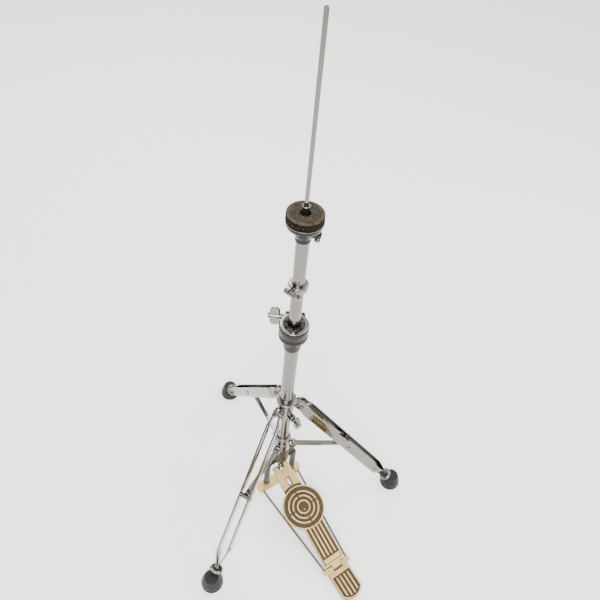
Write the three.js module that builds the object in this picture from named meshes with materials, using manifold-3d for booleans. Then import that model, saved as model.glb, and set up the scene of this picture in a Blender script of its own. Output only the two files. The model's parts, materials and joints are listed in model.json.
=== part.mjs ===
// A hi-hat stand: a pull rod inside a two-part pillar, a tripod of double-strip legs that folds,
// and a foot pedal whose chain draws the rod down against a spring.
// Millimetres, +Z up. The origin is on the floor under the pull rod; the heel points to -Y.

import * as THREE from 'three';
import { mergeVertices } from 'three/addons/utils/BufferGeometryUtils.js';
import Module from 'manifold-3d';

const wasm = await Module();
wasm.setup();

// ---- Driving dimensions -------------------------------------------------------------------------

const GAP = 0.3;                  // clearance between pieces that touch
const RUN = 0.5;                  // clearance around a piece that slides or turns
const CUT = 1;                    // how far a cutting solid runs past the face it cuts
const DEG = Math.PI / 180;

// Pillar, from the floor up
const lowerTubeRadius = 12.7;
const lowerTubeWall = 1.5;
const lowerTubeBottom = 122;
const lowerTubeTop = 572;
const upperTubeRadius = 10;
const upperTubeWall = 1.5;
const upperTubeBottom = 432;
const upperTubeTop = 795.5;
const rodRadius = 3;
const rodTop = 1089;
const rodTipChamfer = 1;

// Height clamp on top of the lower tube
const clampTop = 596;
const clampBand = 33;
const clampTaper = 10;
const clampWall = 9.6;              // outside the bushing
const clampNeckBottom = 534;
const clampNeckWall = 2.5;
const clampNeckTopWall = 4.3;
const clampTurn = 52.7;           // degrees, where the slit and the ears are
const clampSlit = 3;
const clampEarOut = 29;
const clampEarHalf = 17;
const clampBoltOffset = 22;
const clampBoltRadius = 3;
const clampBoltDrop = 9;
const topRingThickness = 2;
const topRingInset = 1;
const bushingWall = 5.6;
const bushingStand = 3;
const bushingLip = 2.4;
const bushingSlit = 2;

// Wing bolt of the height clamp
const wingHubRadius = 5;
const wingHubLength = 27;
const wingSpan = 23;
const wingWidth = 23;
const wingThickness = 3.6;
const wingLean = 88;

// Memory lock on the upper tube
const lockBottom = 680;
const lockHeight = 14;
const lockWall = 6;
const lockTurn = -161.7;          // degrees, where its ears are
const lockEarOut = 25;
const lockEarHalf = 9;
const lockSlit = 2.4;
const lockBoltOffset = 20;
const lockBoltRadius = 2.6;
const keyHead = 7;
const keyHeadLength = 11;

// Leg collar
const collarTop = 366;
const collarRingHeight = 27;
const collarWall = 5.3;
const collarLip = 2;
const collarLipHeight = 4;
const collarSkirtBottom = 302;
const collarSkirtWall = 3.5;
const legPivotOut = 12;           // beyond the collar's wall
const legPivotHeight = 349;
const earOut = 7;                 // material beyond a pivot's centre
const collarBoltHeight = 317;
const collarBoltTurn = -82;       // degrees, clear of the right leg when it is folded
const collarBossRadius = 8;
const collarBossOut = 25;
const collarHubLength = 20;
const collarWingSpan = 16;
const collarWingWidth = 18;
const collarWingLean = 80;

// Legs
const legTurn = -3;               // degrees the tripod sits round from the pedal's line
const legNames = ['rear', 'right', 'left'];
const legSpacing = 21;            // between the middles of a leg's two strips
const stripThickness = 3;
const stripWidth = 22;
const stripEndWidth = 14;
const stripEndSpacing = 4.2;
const stripHeadSpacing = 14.5;      // at the collar
const stripFlareStart = 10;       // along the leg, from its pivot
const stripFlareEnd = 30;
const footCircle = 273;
const footSoleRadius = 23;
const footTopRadius = 14;
const footHeight = 36;
const footSoleHeight = 7;
const legEndHeight = 16;
const stripBendStart = 82;        // along the leg, from its lower end
const stripBendEnd = 38;
const legRivetAlong = 196;        // from the leg's pivot to the strut's rivet
const legPinRadius = 2.5;
const rivetHeadRadius = 5;
const rivetHeadHeight = 2.4;
const rivetShoulderRadius = 3.5;
const rivetShoulderHeight = 1.92;
const ferruleRadius = 14.5;
const ferruleHeight = 5;
const ferruleAlong = 29;          // from the leg's lower end

// Strut hub and struts
const hubBottom = 172;
const hubHeight = 50;
const hubWall = 4.8;
const hubPivotOut = 7.5;          // beyond the hub's wall
const hubPivotHeight = 184;
const forkThickness = 3;
const strutWidth = 9;
const strutHeight = 9;
const strutWall = 1.8;
const strutPinRadius = 2;
const strutEyeRadius = 5.2;
const strutTubeRadius = 4.6;

// Yoke frame that stands on the base bar and holds the lower tube
const yokeSocketTop = 168;
const yokeSocketWall = 4.3;
const yokeShoulder = 134;
const yokeShoulderHalf = 38;
const yokeArchTop = 112;
const yokeBossRadius = 12.5;        // round the rod's bore, below the socket
const yokeSocketBottom = 118;
const yokeOpening = 29;           // half of the gap between the arms
const yokeFootHalf = 41;
const yokeDepth = 16;
const yokeLowerDepth = 12;
const yokeLedgeBottom = 2;         // above the arch's top
const yokeLedgeTop = 7;
const rodBoreRadius = 9.4;

// Base bar with its foot blocks
const barHeight = 9;
const barHalfDepth = 14;
const barInset = 2;               // the bar stands in from the foot blocks' pads
const blockOffset = 47;
const blockRadius = 12.5;
const blockHeight = 19;
const blockChamfer = 3;
const yokePocketDepth = 2.5;
const padMargin = 2;               // inward of the yoke's arm

// Pedal: the heel hinge is the centre of the footboard's swing
const hingeOffset = 241.4;
const hingeHeight = 12;
const pedalRest = 13.2;           // degrees above level
const pedalDown = 2.2;
const knuckleRadius = 6;
const tongueHalf = 11;
const heelHalf = 25;
const heelLength = 72;
const heelThickness = 10;
const heelEndRadius = 31;
const heelLipThickness = 3;        // below the hinge, on the floor
const earHalf = 34;
const earRadius = 5.4;
const hingePinRadius = 2.2;
const boardThickness = 6;
const boardAboveAxis = 5;
const stripHalf = 24.5;
const discRadius = 48.5;
const discAlong = 141;
const toeHalfWide = 22.7;
const toeHalf = 19.5;
const slotAlong = 198;
const slotLength = 20;
const slotHalf = 5.5;
const toeNotch = 14;
const toeNotchHalf = 7.5;
const toeBeyondPin = 6;
const toeBossThickness = 9;
const reliefHeight = 1.2;
const reliefSink = 0.4;
const barRibHalf = 1.6;
const barRibPitch = 9.2;
const ribCount = 4;
const rimWidth = 2.2;
const ringRadii = [34.5, 24.5, 14];
const ringWidth = 2.6;
const plateAlong = 12;            // from the hinge to the blank plate
const plateLength = 11;

// Chain and pull rod's lower end
const clevisPinHeight = 98;
const clevisRadius = 8;
const clevisForkHalf = 4.4;
const clevisTop = 106;
const pinRadius = 1.5;
const clevisBelowPin = 6;
const clevisTaper = 5;
const toePinRadius = 2;
const plateWidthHalf = 4;
const plateWaistHalf = 2.8;
const bushWall = 0.9;
const innerPlateHalf = 2.2;
const plateThickness = 1.4;
const toeEyeRadius = 3.6;
const toeEyeOuter = 6.4;

// Rods and spring inside the pillar
const lowerRodRadius = 4;
const lowerRodTop = 460;
const couplerRadius = 6.4;
const couplerHalf = 20;
const springSeatHeight = 196;
const springSeatThickness = 5;
const springTop = 330;
const springCollarThickness = 8;
const springRadius = 8.4;
const springWire = 1.1;
const springTurns = 7;

// Stabiliser wires
const wireRadius = 2.25;
const wireHeight = 6.6;
const wireHoleDepth = 12;         // in the foot blocks
const wireInEar = 5;              // its end, inside the heel's ear
const wireStraight = 12;          // before the hinge, in line with the ear's hole
const wireEarX = 29.5;
const wireBesideBlock = 2;        // outward from the foot block's middle

// Seat for the bottom cymbal
const feltTop = 830;
const feltThickness = 12.5;
const feltRadius = 27;
const feltClearance = 2.55;          // round the guide sleeve, so the seat can tilt
const washerThickness = 1;
const washerStand = 0.4;          // past the felt's edge
const cupHeight = 13;
const cupBottomRadius = 16.5;
const cupWall = 3;
const cupFlare = 6.5;
const cupShoulder = 4;
const cupKnuckleRadius = 2.8;
const cupKnuckleHalf = 2;
const neckLugHalf = 2;
const neckLugRadius = 3;
const neckBottom = 782;
const neckWall = 2;
const neckFlangeWall = 4;
const neckTop = 799;
const sleeveRadius = 4.75;
const sleeveTop = 839;
const sleeveWall = 1.15;
const ringRadius = 6;
const ringHeight = 3;
const seatTurn = -40;             // degrees, where the tilt screw is
const tiltPinOffset = 17;
const tiltPinHeight = 800;
const tiltPinRadius = 1.5;
const tiltScrewOffset = 20;
const tiltScrewRadius = 2.5;
const tiltScrewBottom = 783;
const tiltScrewTop = 802.5;
const knobRadius = 4.6;
const knobHeight = 4;
const tiltArmHalf = 5.5;
const tiltArmHeight = 7;

// Smoothness
const ROUND = 24;                 // sides of a large round piece
const SMALL = 12;                 // sides of a small one

// ---- Sizes that follow from the driving ones ----------------------------------------------------

const tubeBore = lowerTubeRadius - lowerTubeWall;
const upperBore = upperTubeRadius - upperTubeWall;
const bushingRadius = upperTubeRadius + GAP + bushingWall;
const clampRadius = bushingRadius + clampWall;
const clampNeckRadius = lowerTubeRadius + clampNeckWall;
const clampNeckTopRadius = lowerTubeRadius + clampNeckTopWall;
const lockRadius = upperTubeRadius + lockWall;
const collarRadius = lowerTubeRadius + collarWall;
const legPivotRadius = collarRadius + legPivotOut;
const collarSkirtRadius = lowerTubeRadius + collarSkirtWall;
const hubRadius = lowerTubeRadius + hubWall;
const hubPivotRadius = hubRadius + hubPivotOut;
const yokeSocketRadius = lowerTubeRadius + yokeSocketWall;
const padHalf = yokeLowerDepth / 2 + padMargin;
const neckRadius = upperTubeRadius + neckWall;
const neckFlangeRadius = upperTubeRadius + neckFlangeWall;
const feltHole = sleeveRadius + feltClearance;
const legTilt = Math.atan((footCircle - legPivotRadius) / (legPivotHeight - legEndHeight));
const legLength = Math.hypot(footCircle - legPivotRadius, legPivotHeight - legEndHeight);
const rivetOut = legPivotRadius + legRivetAlong * Math.sin(legTilt);
const rivetHeight = legPivotHeight - legRivetAlong * Math.cos(legTilt);
const strutTilt = Math.atan2(rivetHeight - hubPivotHeight, rivetOut - hubPivotRadius);
const strutLength = Math.hypot(rivetHeight - hubPivotHeight, rivetOut - hubPivotRadius);
const stripGap = legSpacing - stripThickness;
const boardEdge = knuckleRadius + 3;   // the footboard's, from the hinge's axis
const heelFront = -knuckleRadius - 1;
const legAngles = legNames.map((_, i) => 90 + legTurn - i * 360 / legNames.length);
const wireX = blockOffset + wireBesideBlock;
const hingeY = -hingeOffset;
// The toe pin swings as far behind the rod's line at rest as it is in front of it when pressed.
const toePinAlong = 2 * hingeOffset / (Math.cos(pedalRest * DEG) + Math.cos(pedalDown * DEG));
const toePinY = hingeY + toePinAlong * Math.cos(pedalRest * DEG);
const toePinHeight = hingeHeight + toePinAlong * Math.sin(pedalRest * DEG);
const chainLength = Math.hypot(toePinY, clevisPinHeight - toePinHeight);
const chainTilt = Math.atan2(toePinY, clevisPinHeight - toePinHeight);
const clevisBottom = clevisPinHeight - clevisBelowPin;
const bushingBottom = lowerTubeTop + 2 * GAP;
const washerBottom = feltTop - feltThickness - washerThickness - GAP;
const cupTop = washerBottom - GAP;
const cupBottom = cupTop - cupHeight;

// ---- Materials ----------------------------------------------------------------------------------

function finish(color, roughness, metalness) {
  return new THREE.MeshStandardMaterial({ color, roughness, metalness });
}
const chrome = finish(0xb8b6b0, 0.12, 1);
const steel = finish(0x8f8d88, 0.35, 1);
const blackPaint = finish(0x23221f, 0.45, 0.2);
const castBlack = finish(0x3a3833, 0.55, 0.5);
const castCream = finish(0xe3d2a6, 0.5, 0.6);
const rubber = finish(0x141414, 0.8, 0);
const feltGrey = finish(0x4a473e, 0.95, 0);
const nylon = finish(0x1c1b19, 0.5, 0);
const chainBrown = finish(0x4a2c22, 0.5, 0.7);

// ---- Solid helpers ------------------------------------------------------------------------------

// Turns a closed three.js geometry into a manifold solid.
function solid(geometry) {
  const bare = geometry.clone();
  bare.deleteAttribute('normal');
  bare.deleteAttribute('uv');
  const merged = mergeVertices(bare, 1e-4);
  const source = merged.index.array;
  const corners = [];
  for (let i = 0; i < source.length; i += 3) {
    const [a, b, c] = [source[i], source[i + 1], source[i + 2]];
    if (a !== b && b !== c && c !== a) corners.push(a, b, c);
  }
  const vertProperties = new Float32Array(merged.attributes.position.array);
  const triVerts = new Uint32Array(corners);
  return new wasm.Manifold(new wasm.Mesh({ numProp: 3, vertProperties, triVerts }));
}

// Turns a manifold solid back into a three.js geometry.
function geometryOf(body) {
  const { vertProperties, triVerts } = body.getMesh();
  const geometry = new THREE.BufferGeometry();
  geometry.setAttribute('position', new THREE.BufferAttribute(vertProperties, 3));
  geometry.setIndex(new THREE.BufferAttribute(triVerts, 1));
  geometry.computeVertexNormals();
  return geometry;
}

function joined(bodies) {
  return bodies.reduce((sum, body) => sum.add(body));
}

function cutFrom(body, tools) {
  return tools.reduce((rest, tool) => rest.subtract(tool), body);
}

// A round piece about Z from a list of [radius, height] pairs that starts and ends on the axis.
function turned(profile, sides = ROUND) {
  const points = profile.map(([r, z]) => new THREE.Vector2(r, z));
  return solid(new THREE.LatheGeometry(points, sides).rotateX(Math.PI / 2));
}

// A round bar about Z between two heights.
function bar(radius, bottom, top, sides = ROUND) {
  return turned([[0, bottom], [radius, bottom], [radius, top], [0, top]], sides);
}

// A tube about Z.
function pipe(radius, bore, bottom, top, sides = ROUND) {
  return bar(radius, bottom, top, sides).subtract(bar(bore, bottom - CUT, top + CUT, sides));
}

// A round bar along X, centred on x, y, z.
function barX(radius, half, x, y, z, sides = SMALL) {
  return bar(radius, -half, half, sides).rotate([0, 90, 0]).translate([x, y, z]);
}

// A round bar along Y, centred on x, y, z.
function barY(radius, half, x, y, z, sides = SMALL) {
  return bar(radius, -half, half, sides).rotate([90, 0, 0]).translate([x, y, z]);
}

// A block between two corners.
function block(low, high) {
  const size = high.map((value, i) => value - low[i]);
  const middle = high.map((value, i) => (value + low[i]) / 2);
  return solid(new THREE.BoxGeometry(...size)).translate(middle);
}

function outline(points) {
  return new THREE.Shape(points.map(([x, y]) => new THREE.Vector2(x, y)));
}

// An outline in X and Y raised from bottom to top.
function raised(shape, bottom, top, curveSegments = 12) {
  const settings = { depth: top - bottom, bevelEnabled: false, curveSegments };
  return solid(new THREE.ExtrudeGeometry(shape, settings).translate(0, 0, bottom));
}

// An outline in X and Z given a thickness from y = back to y = front.
function upright(shape, back, front, curveSegments = 12) {
  return raised(shape, -front, -back, curveSegments).rotate([90, 0, 0]);
}

// A round rod along a smooth or straight path.
function rodAlong(path, radius, sides, steps) {
  const section = new THREE.Shape();
  section.absarc(0, 0, radius, 0, 2 * Math.PI, false);
  const settings = { steps, extrudePath: path, curveSegments: sides, bevelEnabled: false };
  return solid(new THREE.ExtrudeGeometry(section, settings));
}

const stand = new THREE.Group();

function node(name, body, material, parent = stand) {
  const mesh = new THREE.Mesh(geometryOf(body), material);
  mesh.name = name;
  parent.add(mesh);
  return mesh;
}

function turnedGroup(degrees, parent = stand) {
  const group = new THREE.Group();
  group.rotation.z = degrees * DEG;
  parent.add(group);
  return group;
}

// ---- Base bar, yoke frame and lower tube --------------------------------------------------------

function makeBaseBar() {
  const barHalf = barHalfDepth - barInset;
  const middle = block([-blockOffset, -barHalf, 0], [blockOffset, barHalf, barHeight]);
  const blocks = [-1, 1].map((side) => turned([
    [0, 0], [blockRadius, 0], [blockRadius, blockHeight - blockChamfer - 1],
    [blockRadius - blockChamfer, blockHeight], [0, blockHeight],
  ]).translate([side * blockOffset, 0, 0]));
  const pads = [-1, 1].map((side) => block(
    [Math.min(side * (yokeOpening - padMargin), side * blockOffset), -padHalf, 0],
    [Math.max(side * (yokeOpening - padMargin), side * blockOffset), padHalf, blockHeight],
  ));
  const yokeSeat = [-1, 1].map((side) => {
    const inner = side * (yokeOpening - GAP);
    const outer = side * (yokeFootHalf + GAP);
    return block(
      [Math.min(inner, outer), -yokeLowerDepth / 2 - GAP, blockHeight - yokePocketDepth],
      [Math.max(inner, outer), yokeLowerDepth / 2 + GAP, blockHeight + CUT],
    );
  });
  const wireHoles = [-1, 1].map((side) => barY(
    wireRadius + GAP, wireHoleDepth / 2 + CUT,
    side * wireX, -barHalfDepth - CUT + wireHoleDepth / 2, wireHeight,
  ));
  return cutFrom(joined([middle, ...blocks, ...pads]), [...yokeSeat, ...wireHoles]);
}

// An arch seen from the heel: two arms rise to a shoulder that carries the tube's socket.
function makeYoke() {
  const foot = blockHeight - yokePocketDepth + GAP;
  const front = new THREE.Shape();
  front.moveTo(-yokeFootHalf, foot);
  front.lineTo(-yokeOpening, foot);
  front.lineTo(-yokeOpening, yokeArchTop - yokeOpening / 2);
  front.quadraticCurveTo(-yokeOpening, yokeArchTop, -yokeOpening / 2, yokeArchTop);
  front.lineTo(yokeOpening / 2, yokeArchTop);
  front.quadraticCurveTo(yokeOpening, yokeArchTop, yokeOpening, yokeArchTop - yokeOpening / 2);
  front.lineTo(yokeOpening, foot);
  front.lineTo(yokeFootHalf, foot);
  front.lineTo(yokeShoulderHalf, yokeArchTop);
  front.quadraticCurveTo(yokeShoulderHalf, yokeShoulder, yokeSocketRadius, yokeSocketTop - GAP);
  front.lineTo(-yokeSocketRadius, yokeSocketTop - GAP);
  front.quadraticCurveTo(-yokeShoulderHalf, yokeShoulder, -yokeShoulderHalf, yokeArchTop);
  front.closePath();
  const arch = upright(front, -yokeLowerDepth / 2, yokeLowerDepth / 2, 6);
  const ledge = block(
    [-yokeShoulderHalf + 1, -yokeDepth / 2, yokeArchTop + yokeLedgeBottom],
    [yokeShoulderHalf - 1, yokeDepth / 2, yokeArchTop + yokeLedgeTop],
  );
  const socket = bar(yokeSocketRadius, yokeSocketBottom, yokeSocketTop);
  const boss = bar(yokeBossRadius, yokeArchTop, yokeSocketBottom + CUT);
  return cutFrom(joined([arch, ledge, socket, boss]), [
    bar(lowerTubeRadius + GAP, lowerTubeBottom - GAP, yokeSocketTop + CUT),
    bar(rodBoreRadius, yokeArchTop - CUT, lowerTubeBottom, SMALL),
  ]);
}

function makeBase() {
  node('base_bar', makeBaseBar(), castCream);
  node('yoke_frame', makeYoke(), castBlack);
  node('lower_tube', pipe(lowerTubeRadius, tubeBore, lowerTubeBottom, lowerTubeTop), chrome);
}

// ---- Height clamp, bushing and wing bolt --------------------------------------------------------

// A bolt with a hub and two round wings, lying along +X with its shank pointing to -X.
function wingBolt(shankRadius, shankLength, hubLength, span, width, lean) {
  const shank = barX(shankRadius, shankLength / 2 + 1, -shankLength / 2 + 1, 0, 0);
  const hub = barX(wingHubRadius, hubLength / 2, hubLength / 2, 0, 0);
  const lobe = new THREE.Shape();
  lobe.absellipse(0, 0, width / 2, span, 0, 2 * Math.PI, false);
  const wings = raised(lobe, -wingThickness / 2, wingThickness / 2, 12)
    .rotate([lean, 0, 0])
    .translate([hubLength - width / 2 - 1, 0, 0]);
  return joined([shank, hub, wings]);
}

function makeHeightClamp() {
  const bandBottom = clampTop - clampBand;
  const ringSeat = clampTop - topRingThickness - GAP;
  const body = turned([
    [0, clampNeckBottom], [clampNeckRadius, clampNeckBottom], [clampNeckTopRadius, bandBottom - clampTaper],
    [clampRadius - 2, bandBottom], [clampRadius, bandBottom + 3], [clampRadius, ringSeat],
    [0, ringSeat],
  ]);
  const ears = block(
    [0, -clampEarHalf, bandBottom + 1], [clampEarOut, clampEarHalf, ringSeat],
  );
  const boltHeight = clampTop - clampBoltDrop - topRingThickness;
  return cutFrom(body.add(ears), [
    bar(lowerTubeRadius + GAP, clampNeckBottom - CUT, lowerTubeTop + GAP),
    bar(bushingRadius + GAP, lowerTubeTop + GAP, clampTop + CUT),
    block(
      [0, -clampSlit / 2, clampNeckBottom - CUT], [clampEarOut + CUT, clampSlit / 2, clampTop + CUT],
    ),
    barY(clampBoltRadius + GAP, clampEarHalf + CUT, clampBoltOffset, 0, boltHeight),
  ]);
}

function makeTopRing() {
  const ring = pipe(
    clampRadius - topRingInset, bushingRadius + GAP, clampTop - topRingThickness, clampTop,
  );
  return ring.subtract(block(
    [0, -clampSlit / 2, clampTop - topRingThickness - CUT], [clampRadius, clampSlit / 2, clampTop + CUT],
  ));
}

function makeBushing() {
  const top = clampTop + bushingStand;
  const lip = pipe(bushingRadius + bushingLip, upperTubeRadius + GAP, clampTop + GAP, top);
  const sleeve = pipe(bushingRadius, upperTubeRadius + GAP, bushingBottom, top);
  return sleeve.add(lip).subtract(
    block([0, -bushingSlit / 2, bushingBottom - CUT], [bushingRadius * 2, bushingSlit / 2, top + CUT]),
  );
}

function makeHeightClampGroup() {
  const place = turnedGroup(clampTurn);
  node('height_clamp', makeHeightClamp(), blackPaint, place);
  node('clamp_top_ring', makeTopRing(), chrome, place);
  node('clamp_bushing', makeBushing(), nylon, place);
  const boltHeight = clampTop - clampBoltDrop - topRingThickness;
  const hubStart = Math.sqrt(clampRadius ** 2 - (clampBoltOffset - wingHubRadius) ** 2) + RUN;
  const shank = hubStart + clampEarHalf + 2;
  const bolt = wingBolt(clampBoltRadius, shank, wingHubLength, wingSpan, wingWidth, wingLean)
    .rotate([0, 0, 90])
    .translate([clampBoltOffset, hubStart, boltHeight]);
  node('height_wing_bolt', bolt, chrome, place);
}

// ---- Upper tube with its memory lock ------------------------------------------------------------

function makeMemoryLock() {
  const top = lockBottom + lockHeight;
  const ring = turned([
    [0, lockBottom], [lockRadius - 2, lockBottom], [lockRadius, lockBottom + 2], [lockRadius, top - 1],
    [lockRadius - 1, top], [0, top],
  ]);
  const ears = block([0, -lockEarHalf, lockBottom + 1], [lockEarOut, lockEarHalf, top - 1]);
  return cutFrom(ring.add(ears), [
    bar(upperTubeRadius + GAP, lockBottom - CUT, top + CUT),
    block([0, -lockSlit / 2, lockBottom - CUT], [lockEarOut + CUT, lockSlit / 2, top + CUT]),
    barY(lockBoltRadius + GAP, lockEarHalf + CUT, lockBoltOffset, 0, lockBottom + lockHeight / 2),
  ]);
}

function makeUpperTube() {
  node('upper_tube', pipe(upperTubeRadius, upperBore, upperTubeBottom, upperTubeTop), chrome);
  const place = turnedGroup(lockTurn);
  node('memory_lock', makeMemoryLock(), chrome, place);
  const shank = lockEarHalf + 2;
  const bolt = joined([
    barY(lockBoltRadius, shank, lockBoltOffset, 0, 0),
    block(
      [lockBoltOffset - keyHead / 2, lockEarHalf + RUN, -keyHead / 2],
      [lockBoltOffset + keyHead / 2, lockEarHalf + RUN + keyHeadLength, keyHead / 2],
    ),
  ]).translate([0, 0, lockBottom + lockHeight / 2]);
  node('memory_key_bolt', bolt, chrome, place);
}

// ---- Pull rods, clevis, chain and spring --------------------------------------------------------

function makeRods() {
  const fork = turned([
    [0, clevisBottom], [clevisRadius, clevisBottom], [clevisRadius, clevisTop],
    [lowerRodRadius, clevisTop + clevisTaper], [lowerRodRadius, lowerRodTop], [0, lowerRodTop],
  ], 20);
  const lower = cutFrom(fork, [
    block(
      [-clevisForkHalf, -clevisRadius - CUT, clevisBottom - CUT],
      [clevisForkHalf, clevisRadius + CUT, clevisPinHeight + plateWidthHalf + 1],
    ),
    barX(pinRadius + GAP, clevisRadius + CUT, 0, 0, clevisPinHeight),
  ]);
  node('lower_pull_rod', lower, steel);
  node('clevis_pin', barX(pinRadius, clevisRadius - 1, 0, 0, clevisPinHeight), steel);
  const joint = pipe(
    couplerRadius, lowerRodRadius + GAP, lowerRodTop - couplerHalf, lowerRodTop + couplerHalf, 20,
  );
  node('rod_coupler', joint, steel);
  const upper = turned([
    [0, lowerRodTop + GAP], [rodRadius, lowerRodTop + GAP], [rodRadius, rodTop - rodTipChamfer],
    [rodRadius - rodTipChamfer, rodTop], [0, rodTop],
  ], 20);
  node('upper_pull_rod', upper, chrome);
}

// One link: a pair of oval plates joined by bushes, drawn hanging from the origin down -Z.
function linkPlates(middle, length, topHole, bottomHole, bottomOuter) {
  const plates = [-1, 1].map((side) => {
    const at = [side * middle, 0, 0];
    const half = plateThickness / 2;
    return joined([
      barX(plateWidthHalf, half, at[0], 0, 0),
      barX(bottomOuter, half, at[0], 0, -length),
      block([at[0] - half, -plateWaistHalf, -length], [at[0] + half, plateWaistHalf, 0]),
    ]);
  });
  const holes = [];
  if (topHole) holes.push(barX(topHole, middle + 2 * plateThickness, 0, 0, 0));
  if (bottomHole) holes.push(barX(bottomHole, middle + 2 * plateThickness, 0, 0, -length));
  return { plates, holes };
}

function makeChain() {
  const half = chainLength / 2;
  const inner = innerPlateHalf + plateThickness / 2;
  const outer = inner + plateThickness + GAP;
  const bush = pinRadius + GAP + bushWall;
  const top = linkPlates(inner, half, 0, 0, plateWidthHalf);
  const upperLink = cutFrom(
    joined([...top.plates, barX(bush, inner, 0, 0, 0), barX(bush, inner, 0, 0, -half)]),
    [0, -half].map((z) => barX(pinRadius + GAP, inner + 2, 0, 0, z)),
  );
  const low = linkPlates(outer, half, 0, toeEyeRadius, toeEyeOuter);
  const lowerLink = cutFrom(
    joined([...low.plates, barX(pinRadius, outer + plateThickness, 0, 0, 0)]),
    low.holes,
  ).translate([0, 0, -half]);
  const place = [chainTilt / DEG, 0, 0];
  const at = [0, 0, clevisPinHeight];
  node('chain_upper_link', upperLink.rotate(place).translate(at), chainBrown);
  node('chain_lower_link', lowerLink.rotate(place).translate(at), chainBrown);
}

class Coil extends THREE.Curve {
  getPoint(t, target = new THREE.Vector3()) {
    const angle = 2 * Math.PI * springTurns * t;
    const low = springSeatHeight + springSeatThickness + springWire + GAP;
    const high = springTop - springWire - GAP;
    return target.set(
      springRadius * Math.cos(angle), springRadius * Math.sin(angle), low + (high - low) * t,
    );
  }
}

function makeSpring() {
  const seat = pipe(
    tubeBore - GAP, lowerRodRadius + RUN, springSeatHeight, springSeatHeight + springSeatThickness, 24,
  );
  node('spring_seat', seat, nylon);
  node('return_spring', rodAlong(new Coil(), springWire, 3, springTurns * 10), steel);
  const collar = pipe(
    tubeBore - 2 * RUN, lowerRodRadius + GAP, springTop, springTop + springCollarThickness, 24,
  );
  node('spring_collar', collar, nylon);
}

// ---- Pedal --------------------------------------------------------------------------------------

// The footboard is drawn level, with the hinge axis at the origin and the toe towards +Y.
function boardOutline() {
  const meet = Math.sqrt(discRadius ** 2 - stripHalf ** 2);
  const toeMeet = Math.sqrt(discRadius ** 2 - toeHalfWide ** 2);
  const toeEnd = toePinAlong + toeBeyondPin;
  const shape = new THREE.Shape();
  shape.moveTo(-stripHalf, boardEdge);
  shape.lineTo(stripHalf, boardEdge);
  shape.lineTo(stripHalf, discAlong - meet);
  const lowAngle = Math.atan2(-meet, stripHalf);
  const highAngle = Math.atan2(toeMeet, toeHalfWide);
  shape.absarc(0, discAlong, discRadius, lowAngle, highAngle, false);
  shape.lineTo(toeHalf, toeEnd);
  shape.lineTo(toeNotchHalf, toeEnd);
  shape.lineTo(toeNotchHalf, toeEnd - toeNotch);
  shape.lineTo(-toeNotchHalf, toeEnd - toeNotch);
  shape.lineTo(-toeNotchHalf, toeEnd);
  shape.lineTo(-toeHalf, toeEnd);
  shape.lineTo(-toeHalfWide, discAlong + toeMeet);
  shape.absarc(0, discAlong, discRadius, Math.PI - highAngle, Math.PI - lowAngle, false);
  shape.closePath();
  const slot = outline([
    [-slotHalf, slotAlong], [-slotHalf, slotAlong + slotLength],
    [slotHalf, slotAlong + slotLength], [slotHalf, slotAlong],
  ]);
  shape.holes.push(slot);
  return shape;
}

function raisedRibs(from, to, height) {
  return Array.from({ length: ribCount }, (_, i) => {
    const x = (i - (ribCount - 1) / 2) * barRibPitch;
    return block(
      [x - barRibHalf, from, height - reliefSink], [x + barRibHalf, to, height + reliefHeight],
    );
  });
}

function ringOn(radius, width, height) {
  return pipe(radius + width / 2, radius - width / 2, height - reliefSink, height + reliefHeight, 36)
    .translate([0, discAlong, 0]);
}

function makeFootboard() {
  const top = boardAboveAxis;
  const plate = raised(boardOutline(), top - boardThickness, top, 18);
  const toeEnd = toePinAlong + toeBeyondPin;
  const bosses = [-1, 1].map((side) => {
    const inner = side * toeNotchHalf;
    const outer = side * toeHalf;
    return block(
      [Math.min(inner, outer), toeEnd - toeNotch, top - toeBossThickness],
      [Math.max(inner, outer), toeEnd, top],
    );
  });
  const tongue = barX(knuckleRadius, tongueHalf - GAP, 0, 0, 0, 20);
  const neck = block(
    [-tongueHalf + GAP, 0, top - boardThickness], [tongueHalf - GAP, boardEdge + 1, top],
  );
  const plateEnd = plateAlong + plateLength;
  const blank = block(
    [-stripHalf + 2 * rimWidth, plateAlong, top - reliefSink],
    [stripHalf - 2 * rimWidth, plateEnd, top + reliefHeight],
  );
  const ribs = raisedRibs(plateEnd + 5, discAlong - discRadius + 1, top);
  const discMeet = discAlong - Math.sqrt(discRadius ** 2 - stripHalf ** 2);
  const rims = [-1, 1].map((side) => {
    const inner = side * (stripHalf - rimWidth);
    const outer = side * stripHalf;
    return block(
      [Math.min(inner, outer), boardEdge, top - reliefSink],
      [Math.max(inner, outer), discMeet + 1, top + reliefHeight],
    );
  });
  const rings = ringRadii.map((radius) => ringOn(radius, ringWidth, top));
  const rim = ringOn(discRadius - rimWidth / 2, rimWidth, top);
  const body = joined([plate, ...bosses, tongue, neck, blank, ...ribs, ...rims, ...rings, rim]);
  return cutFrom(body, [
    barX(hingePinRadius + GAP, tongueHalf + CUT, 0, 0, 0),
    barX(toePinRadius + GAP, toeHalf + CUT, 0, toePinAlong, 0),
  ]).rotate([pedalRest, 0, 0]).translate([0, hingeY, hingeHeight]);
}

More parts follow.
